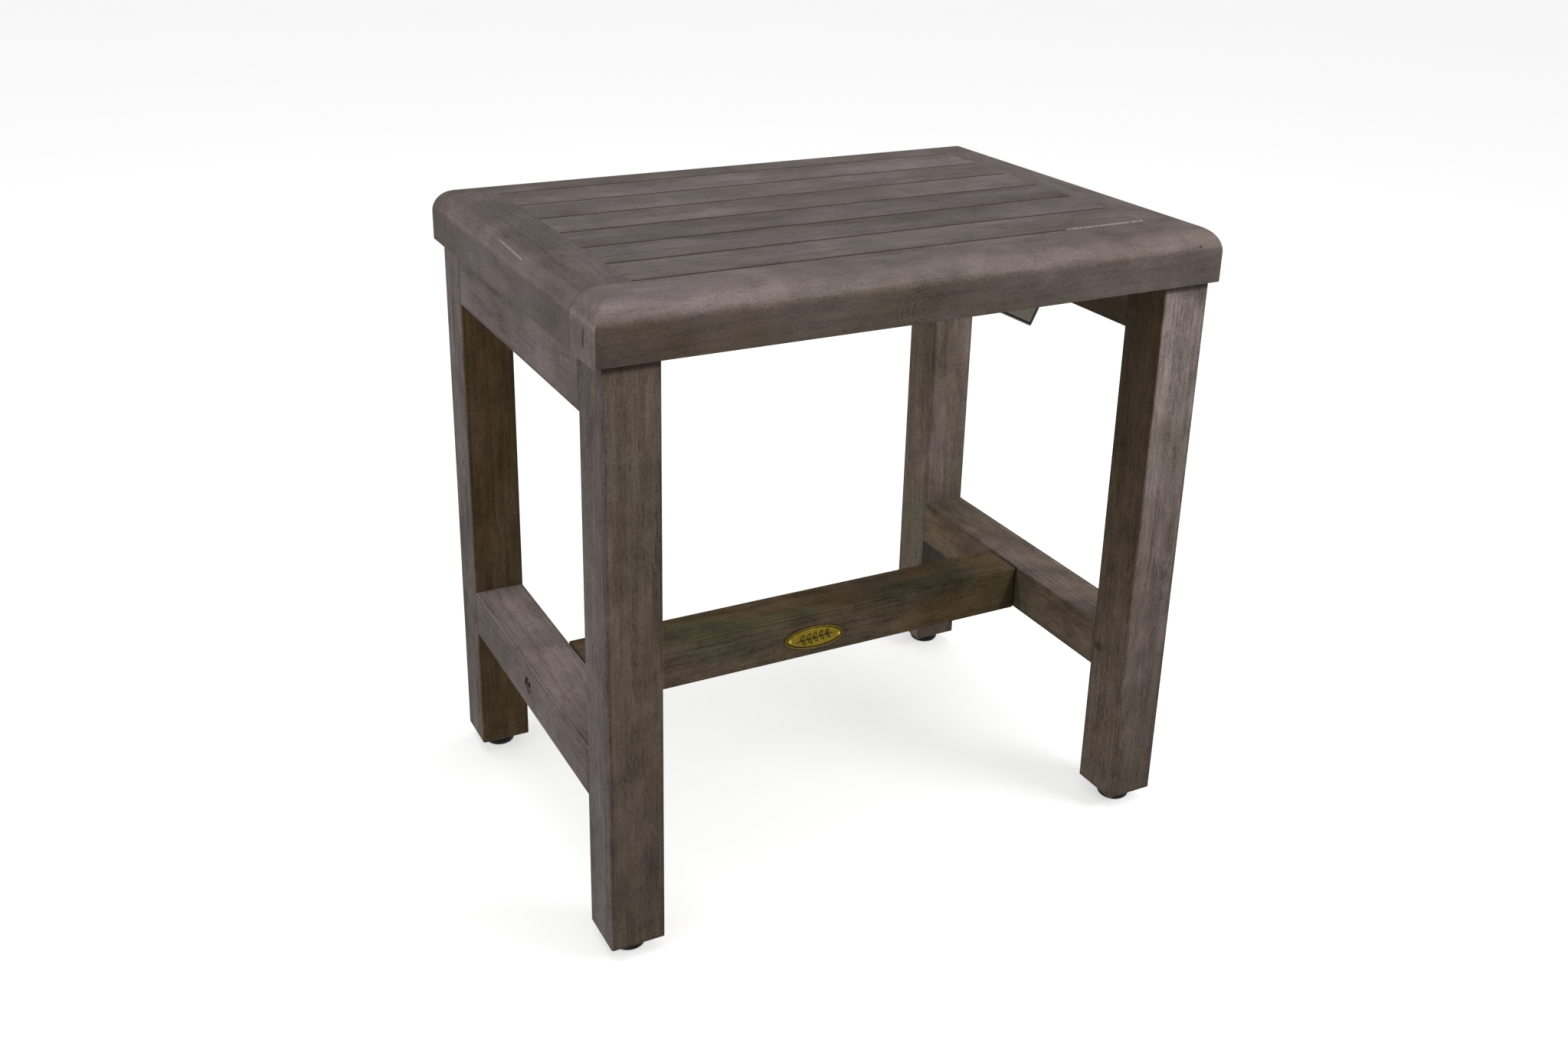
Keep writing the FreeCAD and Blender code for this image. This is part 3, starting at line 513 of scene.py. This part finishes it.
def groove_pale_line(tree, parts, facing, colour):
    """Pale broken line in the mouth of the front groove, near its right end."""
    wear = tree.noise(tree.join(tree.math("MULTIPLY", parts[0], 260.0), 0.0, 0.0), detail=2.0)
    gap = (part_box("seat_front_rail")[1].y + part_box("seat_slat_1")[0].y) / 2
    line = stroke(tree, parts, (1, gap), 0, 1.8 * MM, GROOVE_LINE_SPAN)
    high = tree.fade(parts[2], *GROOVE_LINE_LEVEL)
    broken = tree.fade(wear, 0.36, 0.50, 0.25, 0.95)
    pale = tree.math("MULTIPLY", line, tree.math("MULTIPLY", high, broken))
    return tree.mix(pale, colour, PALE_MARK)


def end_check(tree, parts, facing, colour):
    """Short drying cracks in the left end of the front rail."""
    left_end = tree.fade(parts[0], *CHECK_DEPTH, 1.0, 0.0)
    lean = tree.math("ADD", parts[1], tree.math("MULTIPLY", parts[2], 0.12))
    leaning = (parts[0], lean, parts[2])
    crack = stroke(tree, leaning, (1, CHECK_Y), 2, 2.2 * MM, CHECK_SPAN)
    small = stroke(tree, parts, (1, SMALL_CHECK_Y), 2, 0.9 * MM, SMALL_CHECK_SPAN)
    both = tree.math("MAXIMUM", crack, tree.math("MULTIPLY", small, 0.8))
    return dark_where(tree, colour, tree.math("MULTIPLY", both, left_end), 0.75)


def pin_knot(tree, parts, facing, colour):
    """Small dark knot near the right end of the front rail."""
    place = tree.join(*parts)
    gap = tree.vector("LENGTH", tree.vector("SUBTRACT", place, KNOT_PLACE))
    return dark_where(tree, colour, tree.fade(gap, 0.0004, 0.0018, 1.0, 0.0), 0.85)


def swirl(tree, parts, facing, colour):
    """Arched grain round a buried knot, on the front rail's face."""
    place = tree.join(*parts)
    across = tree.math("MULTIPLY", tree.math("SUBTRACT", parts[0], SWIRL_PLACE[0]), 0.7)
    up = tree.math("SUBTRACT", parts[2], SWIRL_PLACE[1])
    reach = tree.math("SQRT", tree.math("ADD", tree.math("MULTIPLY", across, across),
                                        tree.math("MULTIPLY", up, up)))
    reach = tree.math("ADD", reach, tree.math("MULTIPLY", tree.noise(place, 90.0), 0.004))
    arcs = tree.math("SINE", tree.math("MULTIPLY", reach, 2 * math.pi / SWIRL_SPACING))
    arcs = tree.math("MULTIPLY", tree.fade(arcs, -0.3, 0.9),
                     tree.fade(tree.noise(place, 160.0, 3.0), 0.35, 0.6))
    close = tree.math("MULTIPLY", tree.fade(reach, 0.017, 0.024, 1.0, 0.0),
                      tree.fade(parts[0], -0.014, -0.002, 1.0, 0.25))
    front = facing_low(tree, facing, 1)
    shown = tree.math("MULTIPLY", close, front)
    return dark_where(tree, colour, tree.math("MULTIPLY", arcs, shown), 0.32)


def painted_seat_shadow(tree, parts, facing, colour):
    """Painted shadow on the front of a leg, close under the seat."""
    front = facing_low(tree, facing, 1)
    close = tree.fade(parts[2], *SEAT_SHADOW_LEVEL)
    return dark_where(tree, colour, tree.math("MULTIPLY", front, close), 0.75)


def painted_stretcher_shade(tree, parts, facing, colour):
    """Painted shade on the front of the back right leg, under its stretcher."""
    front = facing_low(tree, facing, 1)
    below = tree.fade(parts[2], *STRETCHER_SHADE_LEVEL, 1.0, 0.0)
    return dark_where(tree, colour, tree.math("MULTIPLY", front, below), 0.6)


def pale_back(tree, parts, facing, colour):
    """Pegs of the back legs, stained like the legs."""
    return tree.scaled(colour, tree.fade(parts[1], -0.01, 0.01, 1.0, 3.1))


def painted_joint_shadow(tree, parts, facing, colour):
    """Painted shadow on the right stretcher, beside the end of the centre stretcher."""
    low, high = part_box("centre_stretcher")
    beside = tree.math("SUBTRACT", low.y, parts[1])
    spread = tree.math("MULTIPLY", tree.math("SUBTRACT", high.z, parts[2]), 0.30)
    dark = tree.fade(tree.math("SUBTRACT", beside, spread), -0.0005, 0.0012, 1.0, 0.0)
    inner = facing_low(tree, facing, 0)
    front = tree.fade(parts[1], -0.001, 0.001, 1.0, 0.0)
    dark = tree.math("MULTIPLY", dark, tree.math("MULTIPLY", inner, front))
    return dark_where(tree, colour, dark, 0.55)


def painted_end_shadow(tree, parts, facing, colour):
    """Slanting painted shadow at the right end of the centre stretcher, and a painted shade line
    along its joint.
    """
    slant = tree.math("ADD", parts[0], tree.math("MULTIPLY", parts[2], -END_SHADOW_SLOPE))
    front = facing_low(tree, facing, 1)
    marked = tree.math("MULTIPLY", tree.fade(slant, *END_SHADOW_X), front)
    colour = dark_where(tree, colour, marked, 0.62)
    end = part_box("centre_stretcher")[1].x
    return dark_where(tree, colour, tree.fade(parts[0], end - 1.3 * MM, end - 0.7 * MM), 0.9)


def rail_scratch(tree, parts, facing, colour):
    """Pale scratch along the left rail's rounded edge."""
    slant = tree.math("SUBTRACT", parts[0], tree.math("MULTIPLY", parts[1], 0.02))
    slanting = (slant, parts[1], parts[2])
    line = stroke(tree, slanting, (0, SCRATCH_X), 1, 0.5 * MM, SCRATCH_SPAN)
    high = tree.fade(parts[2], 0.446, 0.448)
    broken = tree.noise(tree.join(tree.math("MULTIPLY", parts[1], 170.0), 0.0, 0.0))
    faint = tree.math("MULTIPLY", high, tree.fade(broken, 0.35, 0.6, 0.25, 0.6))
    return tree.mix(tree.math("MULTIPLY", line, faint), colour, PALE_MARK)


def board_list():
    """What each board's material needs: its grain, visible box, stains and marks."""
    boards = {}

    def put(name, grain, stain, faces=None, wear=0.6, depth=1.1, grainy=0.8,
            between=None, marks=()):
        low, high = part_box(name)
        if between is not None:
            axis, start, end = between
            low[axis], high[axis] = start, end
        boards[name] = {"grain": grain, "box": (low, high), "stain": stain, "faces": faces or {},
                        "wear": wear, "depth": depth, "grainy": grainy, "marks": marks}

    # The face stains and the tones along the grain below are painted light and shade, set for each
    # face
    seat = {"wear": 0.1, "depth": 0.85, "grainy": 0.4}
    rail_span = (1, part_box("seat_front_rail")[1].y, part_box("seat_back_rail")[0].y)
    put("seat_front_rail", "X", Stain(0.4, 1.04, 1.2, 0.75),
        {LEFT: Stain(0.8, 2.15, 2.15, green=0.1), UP: Stain(0.85, 1.13, 1.13)},
        marks=(gap_shade_facing(1, 1), painted_edge_highlight, groove_pale_line, end_check, pin_knot, swirl), **seat)
    put("seat_back_rail", "X", Stain(0.5, 1.0, 1.0),
        {LEFT: Stain(0.75, 1.5, 1.5), UP: Stain(0.85, 1.08, 1.08)},
        marks=(gap_shade_facing(1, -1), painted_edge_highlight), **seat)
    put("seat_left_rail", "Y", Stain(0.75, 1.22, 1.22, green=0.1), {UP: Stain(0.85, 0.93, 0.93)},
        between=rail_span, marks=(painted_edge_highlight, painted_seam_light, rail_scratch), **seat)
    put("seat_right_rail", "Y", Stain(0.8, 1.0, 1.0), {UP: Stain(0.85, 1.01, 1.01)},
        between=rail_span, marks=(painted_edge_highlight, painted_seam_light), **seat)
    inner_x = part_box("seat_right_rail")[0].x
    for number, tone in enumerate((1.07, 0.91, 0.86, 1.12, 1.06, 1.13), start=1):
        marks = (gap_shade_across(1), painted_seam_light) + ((groove_pale_line,) if number == 1 else ())
        put(f"seat_slat_{number}", "X", Stain(0.85, tone, tone), between=(0, -inner_x, inner_x),
            marks=marks, **seat)
    put("seat_centre_batten", "Y", Stain(0.2, 1.0, 1.0))

    leg_span = (1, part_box("leg_front_left")[1].y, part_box("leg_back_left")[0].y)
    put("leg_front_left", "Z", Stain(0.3, 1.3, 1.3),
        {FRONT: Stain(0.3, 0.92, 1.42, 0.45), LEFT: Stain(0.75, 0.98, 1.1, green=0.15)},
        marks=(painted_seat_shadow,))
    put("leg_front_right", "Z", Stain(0.7, 1.0, 1.2),
        {FRONT: Stain(0.45, 0.93, 1.7, 0.8, 0.7), LEFT: Stain(0.35, 1.4, 0.7, 0.0, 0.0)},
        depth=1.25, grainy=0.9, marks=(painted_seat_shadow,))
    put("leg_back_left", "Z", Stain(0.6, 1.1, 1.1),
        {LEFT: Stain(0.8, 1.12, 1.12, green=0.1), FRONT: Stain(0.05, 1.25, 1.32, green=0.05)},
        depth=1.4)
    put("leg_back_right", "Z", Stain(0.6, 1.1, 1.1),
        {FRONT: Stain(0.55, 1.6, 1.72), LEFT: Stain(0.35, 1.7, 1.76, green=1.0)},
        marks=(painted_stretcher_shade,))
    smooth = {"between": leg_span, "grainy": 0.5}
    put("left_apron", "Y", Stain(0.2, 1.2, 1.2), {LEFT: Stain(0.8, 1.27, 1.27, green=0.15)},
        depth=1.0, **smooth)
    put("right_apron", "Y", Stain(0.2, 1.2, 1.2), {RIGHT: Stain(0.8, 1.1, 1.1)},
        depth=1.0, **smooth)
    put("left_stretcher", "Y", Stain(0.3, 1.3, 1.3),
        {LEFT: Stain(0.75, 1.2, 1.2, green=0.2), UP: Stain(0.85, 1.98, 1.98)},
        depth=1.15, **smooth)
    put("right_stretcher", "Y", Stain(0.7, 1.1, 1.1),
        {LEFT: Stain(0.25, 1.55, 2.15, green=0.8), UP: Stain(0.5, 1.74, 1.74, green=1.1)},
        depth=1.6, marks=(painted_joint_shadow,), **smooth)
    put("centre_stretcher", "X", Stain(0.2, 1.1, 1.1),
        {FRONT: Stain(0.28, 1.12, 1.3, 0.0, 0.9), UP: Stain(0.03, 1.9, 1.5, green=2.5)},
        depth=1.6, grainy=0.6, marks=(painted_end_shadow,))
    for side in SIDES:
        put(f"{side}_tenon_pegs", "X", Stain(0.05, 0.5, 0.5), wear=0.0, marks=(pale_back,))
    put("stretcher_dowels", "X", Stain(0.2, 1.0, 1.0))
    return boards


def stain_boards():
    group = wood_group()
    rng = random.Random(11)
    for name, board in board_list().items():
        give(NODES[name], wood(name, group, board, rng))


# ---- metals, rubber, card and string

def metal(name, colour, roughness):
    """Machined metal with fine turning marks and some dulling."""
    material, tree, shader = new_material(name)
    place = tree.place()
    dull = tree.noise(place, 260.0, 3.0)
    marks = tree.noise(tree.vector("MULTIPLY", place, (3600.0, 900.0, 900.0)))
    darker = tuple(c * 0.62 for c in colour[:3]) + (1.0,)
    tree.put(shader.inputs["Base Color"], tree.mix(tree.fade(dull, 0.35, 0.7), darker, colour))
    tree.put(shader.inputs["Roughness"], tree.fade(marks, 0.3, 0.7, roughness, roughness + 0.18))
    tree.put(shader.inputs["Normal"], tree.bump(marks, 0.15, 0.00005))
    shader.inputs["Metallic"].default_value = 1.0
    return material


def badge_brass():
    """Lacquered brass, dark where the rim's groove holds patina."""
    material, tree, shader = new_material("badge_brass")
    place = tree.place()
    height = tree.split(place)[2]
    mottle = tree.noise(place, 420.0, 3.0, 0.6)
    brushed = tree.noise(tree.vector("MULTIPLY", place, (350.0, 3600.0, 900.0)))
    colour = tree.mix(tree.fade(mottle, 0.3, 0.7), srgb(144, 121, 14), srgb(170, 145, 28))
    # dark in the groove as patina, and on the side wall below it as patina and painted contact
    # shadow
    groove = tree.fade(height, 0.60 * MM, 0.82 * MM, 0.95, 0.0)
    colour = tree.mix(groove, colour, srgb(44, 34, 8))
    rim = tree.fade(height, 1.02 * MM, 1.12 * MM, 0.0, 0.4)
    colour = tree.mix(rim, colour, srgb(84, 62, 30))
    tree.put(shader.inputs["Base Color"], colour)
    tree.put(shader.inputs["Roughness"], tree.fade(brushed, 0.3, 0.7, 0.32, 0.46))
    tree.put(shader.inputs["Normal"], tree.bump(brushed, 0.12, 0.00004))
    shader.inputs["Metallic"].default_value = 0.5
    return material


def patina():
    """Dark fill of the badge's engraved lines."""
    material, tree, shader = new_material("badge_patina")
    mottle = tree.noise(tree.place(), 900.0, 3.0)
    tree.put(shader.inputs["Base Color"],
             tree.mix(tree.fade(mottle, 0.3, 0.7), srgb(30, 22, 6), srgb(62, 50, 18)))
    tree.put(shader.inputs["Roughness"], tree.fade(mottle, 0.3, 0.7, 0.5, 0.7))
    shader.inputs["Specular IOR Level"].default_value = 0.2
    return material


def rubber():
    """Black moulded rubber with a fine grain and dusty scuffs."""
    material, tree, shader = new_material("foot_rubber")
    place = tree.place()
    grain = tree.noise(place, 2600.0)
    scuff = tree.noise(place, 180.0, 4.0, 0.6)
    colour = tree.mix(tree.fade(scuff, 0.52, 0.75), srgb(10, 7, 6), srgb(24, 20, 17))
    shader.inputs["Specular IOR Level"].default_value = 0.25
    tree.put(shader.inputs["Base Color"], colour)
    tree.put(shader.inputs["Roughness"], tree.fade(scuff, 0.35, 0.7, 0.34, 0.58))
    tree.put(shader.inputs["Normal"], tree.bump(grain, 0.25, 0.0001))
    return material


def card():
    """Uncoated grey card with a printed black line inside its edge."""
    material, tree, shader = new_material("tag_card")
    width, height = TAG_SIZE
    lean = math.atan2(width / 2 - TAG_HOLE[0], height / 2 - TAG_HOLE[1])
    place = tree.add("ShaderNodeMapping", {0: tree.place(), 1: TAG_HOLE_PLACE, 2: (0, lean, 0)},
                     vector_type="TEXTURE").outputs[0]
    fibre = tree.noise(tree.vector("MULTIPLY", place, (1500.0, 1500.0, 700.0)), detail=3.0)
    x, _, z = tree.split(place)
    side = tree.math("MINIMUM", tree.math("ADD", x, TAG_HOLE[0]),
                     tree.math("SUBTRACT", width - TAG_HOLE[0], x))
    level = tree.math("MINIMUM", tree.math("SUBTRACT", TAG_HOLE[1], z),
                      tree.math("ADD", z, height - TAG_HOLE[1]))
    inset = tree.math("MINIMUM", side, level)
    line = tree.math("MULTIPLY", tree.fade(inset, 0.9 * MM, 1.15 * MM),
                     tree.fade(inset, 2.15 * MM, 2.4 * MM, 1.0, 0.0))
    paper = tree.mix(fibre, srgb(160, 156, 142), srgb(178, 174, 160))
    tree.put(shader.inputs["Base Color"], tree.mix(line, paper, srgb(18, 16, 14)))
    tree.put(shader.inputs["Roughness"], tree.fade(fibre, 0.3, 0.7, 0.72, 0.88))
    tree.put(shader.inputs["Normal"], tree.bump(fibre, 0.3, 0.00005))
    return material


def cotton():
    """Twisted cotton string, waxed black."""
    material, tree, shader = new_material("tag_string")
    x, y, z = tree.split(tree.place())
    strands = tree.math("SINE", tree.math("ADD", tree.math("MULTIPLY", z, 7000.0),
                                          tree.math("MULTIPLY", tree.math("ADD", x, y), 9000.0)))
    fuzz = tree.noise(tree.place(), 3000.0, 2.0)
    tree.put(shader.inputs["Base Color"],
             tree.mix(tree.fade(strands, -1.0, 1.0), srgb(30, 27, 24), srgb(58, 54, 49)))
    tree.put(shader.inputs["Roughness"], tree.fade(fuzz, 0.3, 0.7, 0.75, 0.95))
    tree.put(shader.inputs["Normal"], tree.bump(strands, 0.6, 0.00012))
    return material


# ---- badge

def badge_frame():
    """Row-frame matrix of the badge: its X along the plate, its Y up, its Z out of the wood."""
    low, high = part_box("badge_plate")
    middle = (low + high) / 2
    stand = Matrix.Rotation(math.radians(90), 4, "X")
    tilt = Matrix.Rotation(math.radians(BADGE_TILT), 4, "Y")
    place = Vector((middle.x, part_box("centre_stretcher")[0].y, middle.z))
    return Matrix.Translation(place) @ tilt @ stand


def make_badge(dark):
    """Oval plate with a rounded rim, a groove inside it and a slightly crowned field."""
    half_length, half_height = 25.5 * MM, 9.3 * MM
    rim = [(0.0, 0.0), (0.0, 0.72), (0.08, 0.98), (0.25, 1.14), (0.45, 1.2), (0.7, 1.2),
           (0.9, 1.12), (1.02, 0.9), (1.08, 0.55), (1.95, 0.55), (2.08, 0.84), (2.3, 0.9)]
    field = [(0.8, 0.94), (0.5, 0.98), (0.2, 1.0), (0.02, 1.0)]
    steps = 96

    def ring(k):
        inset, level = rim[min(k, len(rim) - 1)]
        share = 1.0
        if k >= len(rim):
            share, level = field[k - len(rim)]
        made = []
        for i in range(steps):
            turn = 2 * math.pi * i / steps
            x, y = half_length * math.cos(turn), half_height * math.sin(turn)
            out = Vector((x / half_length ** 2, y / half_height ** 2, 0)).normalized()
            made.append((Vector((x, y, 0)) - out * inset * MM) * share + Vector((0, 0, level * MM)))
        return made

    points, faces = rings(ring, len(rim) + len(field))
    plate = new_piece("badge", points, faces, badge_brass())
    plate.data.materials.append(dark)
    # the groove's floor holds the dark fill as patina; the plate's side wall holds it as patina and
    # painted contact shadow
    for polygon in plate.data.polygons:
        if polygon.index // steps in (0, 7, 8):
            polygon.material_index = 1
    plate.matrix_world = badge_frame()
    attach(plate, "bench")
    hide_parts("badge_plate")


def wire_mesh(name, paths, radius, material):
    """Thin round lines through each path's points."""
    curve = round_curve(name, paths, radius, section_steps=2, steps=6)
    shape = bpy.data.objects.new(name + "_curve", curve)
    mesh = bpy.data.meshes.new_from_object(shape)
    mesh.name = name
    bpy.data.objects.remove(shape)
    piece = bpy.data.objects.new(name, mesh)
    link(piece)
    give(piece, material)
    return piece


def leaf(x, y, length, lean):
    """Outline of a small leaf from its foot, leaning by an angle in degrees."""
    outline = [(0, 0), (0.3, 0.24), (0.65, 0.2), (1.0, 0.0), (0.65, -0.2), (0.3, -0.24), (0, 0)]
    turn = math.radians(lean)
    path = []
    for u, v in outline:
        along, across = u * length, v * length
        path.append((x + along * math.cos(turn) - across * math.sin(turn),
                     y + along * math.sin(turn) + across * math.cos(turn), 1.0 * MM))
    return path


def make_badge_sprig(dark):
    """Plain leaf sprig engraved in the badge."""
    stem = [(x * MM, y * MM, 1.0 * MM) for x, y in
            ((-16.0, -2.4), (-9.0, -1.2), (-2.0, -0.8), (6.0, 0.2), (15.5, 1.8))]
    paths = [stem]
    for k, x in enumerate((-12.0, -6.6, -1.2, 4.2, 9.4)):
        y = -1.6 + 0.12 * (x + 12.0)
        length = (6.0 - 0.3 * k) * MM
        paths.append(leaf(x * MM, y * MM, length, 62))
        paths.append(leaf((x + 1.4) * MM, y * MM, length * 0.85, -50))
    sprig = wire_mesh("badge_sprig", paths, 0.36 * MM, dark)
    sprig.matrix_world = badge_frame()
    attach(sprig, "bench")


# ---- the tag's string

def make_string():
    """The string that loops from the staple through the card's hole."""
    curve = round_curve("string", [STRING_ROUTE], STRING_DIAMETER / 2, section_steps=4, steps=16)
    string = bpy.data.objects.new("string", curve)
    link(string)
    curve.materials.append(cotton())
    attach(string, "hang_tag")
    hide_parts("tag_string")


# ---- feet

def make_pad(name, material):
    """Moulded foot: domed sole, parting line and a hollow for the stud's head."""
    low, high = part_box(name)
    middle, radius, top = (low + high) / 2, (high.x - low.x) / 2, high.z
    section = [(0.0, 0.35), (6.0, 0.25), (7.6, 0.0)]
    for k in range(7):
        turn = math.radians(90 * k / 6)
        section.append((8.5 + 3.5 * math.sin(turn), 3.5 - 3.5 * math.cos(turn)))
    section += [(11.98, 5.2), (11.98, 5.5), (11.72, 5.62), (11.72, 5.9), (11.98, 6.02),
                (11.98, 9.9), (11.85, 10.4), (11.5, 10.7), (4.9, 10.7), (4.45, 10.3), (4.4, 7.0),
                (7.3, 7.0), (7.3, 3.3), (0.0, 3.3)]
    scale = radius / (12 * MM)
    section = [(reach * MM * scale, min(level * MM, top)) for reach, level in section]
    points, faces = lathe(section, middle, steps=64)
    pad = new_piece(f"{name}_moulded", points, faces, material)
    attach(pad, name.replace("_pad", ""))
    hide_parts(name)


def make_stud(name, material):
    """Stud with a real screw thread on a flat round head."""
    low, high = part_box(name)
    middle = (low + high) / 2
    crest, root, core_radius = 3.95 * MM, 3.32 * MM, 3.3 * MM
    head, ease = 7.0 * MM, 0.4 * MM
    head_top = low.z + 3.0 * MM
    tip = 0.9 * MM
    per_turn = 28
    turns = math.ceil((high.z - head_top) / THREAD_PITCH) + 1
    profile = [(0.0, root), (0.12, root), (0.42, crest), (0.58, crest), (0.88, root)]
    points, faces = [], []
    count = turns * per_turn + 1
    for i in range(count):
        turn = 2 * math.pi * i / per_turn
        for share, radius in profile:
            level = head_top + THREAD_PITCH * (i / per_turn - 1 + share)
            taper = 1.0 - 0.16 * max(0.0, min(1.0, (level - high.z + tip) / tip))
            level = min(max(level, head_top), high.z)
            points.append((middle.x + radius * taper * math.cos(turn),
                           middle.y + radius * taper * math.sin(turn), level))
    wide = len(profile)
    for i in range(count - 1):
        for k in range(wide - 1):
            a = i * wide + k
            faces.append((a, a + wide, a + wide + 1, a + 1))
        if i + per_turn < count - 1:
            a, b = i * wide + wide - 1, (i + per_turn) * wide
            faces.append((a, a + wide, b + wide, b))
    stud = new_piece(f"{name}_threaded", points, faces, material, smooth=False)

    section = [(0.0, low.z), (head - ease, low.z), (head, low.z + ease),
               (head, head_top - ease), (head - ease, head_top), (core_radius, head_top),
               (core_radius, high.z), (0.0, high.z)]
    core_points, core_faces = lathe(section, middle, steps=48)
    core = new_piece(f"{name}_core", core_points, core_faces, material, smooth=False)
    body = name.replace("foot_stud", "stud")
    for piece in (stud, core):
        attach(piece, body)
    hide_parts(name)


def make_feet():
    black = rubber()
    steel = metal("stud_steel", srgb(186, 184, 178), 0.3)
    for side in SIDES:
        for end in ENDS:
            make_pad(f"foot_pad_{end}_{side}", black)
            make_stud(f"foot_stud_{end}_{side}", steel)


def dress_small_nodes():
    """Materials of the CAD nodes that stay: bolts, washers, nuts, screws, inserts, pins."""
    steel = metal("stainless_steel", srgb(200, 198, 192), 0.28)
    zinc = metal("zinc_steel", srgb(176, 176, 168), 0.38)
    brass = metal("insert_brass", srgb(196, 160, 88), 0.34)
    for name in ("stretcher_washers", "seat_bolts", "seat_bolt_washers", "tag_staple"):
        give(NODES[name], steel)
    give(NODES["stretcher_bolts"], metal("tarnished_steel", srgb(119, 109, 93), 0.28))
    for name in ("batten_screws", "stretcher_barrel_nuts"):
        give(NODES[name], zinc)
    for name in ("seat_inserts", "foot_inserts"):
        give(NODES[name], brass)
    give(NODES["hang_tag"], card())
    give(NODES["badge_pins"], metal("pin_brass", srgb(255, 236, 128), 0.14))


# ---- stage

def make_camera():
    data = bpy.data.cameras.new("camera")
    data.lens = CAMERA_LENS
    data.shift_x, data.shift_y = CAMERA_SHIFT
    data.clip_start, data.clip_end = 0.01, 100.0
    camera = bpy.data.objects.new("camera", data)
    link(camera)
    azimuth, elevation, roll = (math.radians(a) for a in
                                (CAMERA_AZIMUTH, CAMERA_ELEVATION, CAMERA_ROLL))
    back = Vector((math.sin(azimuth) * math.cos(elevation),
                   -math.cos(azimuth) * math.cos(elevation), math.sin(elevation)))
    right = (-back).cross(Vector((0, 0, 1))).normalized()
    up = right.cross(-back)
    turned_right = right * math.cos(roll) + up * math.sin(roll)
    turned_up = up * math.cos(roll) - right * math.sin(roll)
    turn = Matrix((turned_right, turned_up, back)).transposed().to_4x4()
    camera.matrix_world = Matrix.Translation(CAMERA_TARGET + back * CAMERA_DISTANCE) @ turn
    bpy.context.scene.camera = camera


def soft_light(name, place, size, power):
    """Square softbox that looks at the bench."""
    data = bpy.data.lights.new(name, "AREA")
    data.shape = "SQUARE"
    data.size = size
    data.energy = power
    light = bpy.data.objects.new(name, data)
    link(light)
    light.location = place
    aim = LIGHT_TARGET - Vector(place)
    light.rotation_euler = aim.to_track_quat("-Z", "Y").to_euler()


def stage_material():
    material, tree, shader = new_material("pale_floor")
    soft = tree.noise(tree.place(), 3.0, 3.0)
    pale = tree.mix(soft, (0.90, 0.90, 0.90, 1), (0.92, 0.92, 0.92, 1))
    tree.put(shader.inputs["Base Color"], pale)
    shader.inputs["Roughness"].default_value = 0.9
    shader.inputs["Specular IOR Level"].default_value = 0.1
    shader.inputs["Emission Color"].default_value = (1, 1, 1, 1)
    shader.inputs["Emission Strength"].default_value = FLOOR_GLOW
    return material


def make_floor():
    """Plain pale floor and a far round wall. They throw no light back on the bench."""
    material = stage_material()
    half, height, steps = 30.0, 20.0, 48
    floor = new_piece("floor", [(-half, -half, 0), (half, -half, 0), (half, half, 0),
                                (-half, half, 0)], [(0, 1, 2, 3)], material)

    def ring(k):
        return [(0.95 * half * math.cos(2 * math.pi * i / steps),
                 0.95 * half * math.sin(2 * math.pi * i / steps), height * k)
                for i in range(steps)]

    points, faces = rings(ring, 2, closed_start=False, closed_end=False)
    wall = new_piece("wall", points, faces, material)
    wall.visible_shadow = False
    for part in (floor, wall):
        part.visible_diffuse = False
        part.visible_glossy = False


def make_world():
    """Even light from above and a little more from below."""
    world = bpy.data.worlds.new("studio")
    bpy.context.scene.world = world
    world.use_nodes = True
    tree = Tree(world.node_tree)
    _, _, up = tree.split(tree.add("ShaderNodeTexCoord").outputs["Generated"])
    background = world.node_tree.nodes["Background"]
    background.inputs["Color"].default_value = (1, 1, 1, 1)
    tree.put(background.inputs["Strength"], tree.fade(up, -0.25, 0.25, WORLD_BELOW, WORLD_ABOVE))


def make_stage():
    bpy.context.scene.view_settings.view_transform = "Standard"
    make_floor()
    for name, (place, size, power) in LIGHTS.items():
        soft_light(name, place, size, power)
    make_world()


make_camera()
make_string()
make_stage()
stain_boards()
dress_small_nodes()
badge_fill = patina()
make_badge(badge_fill)
make_badge_sprig(badge_fill)
make_feet()
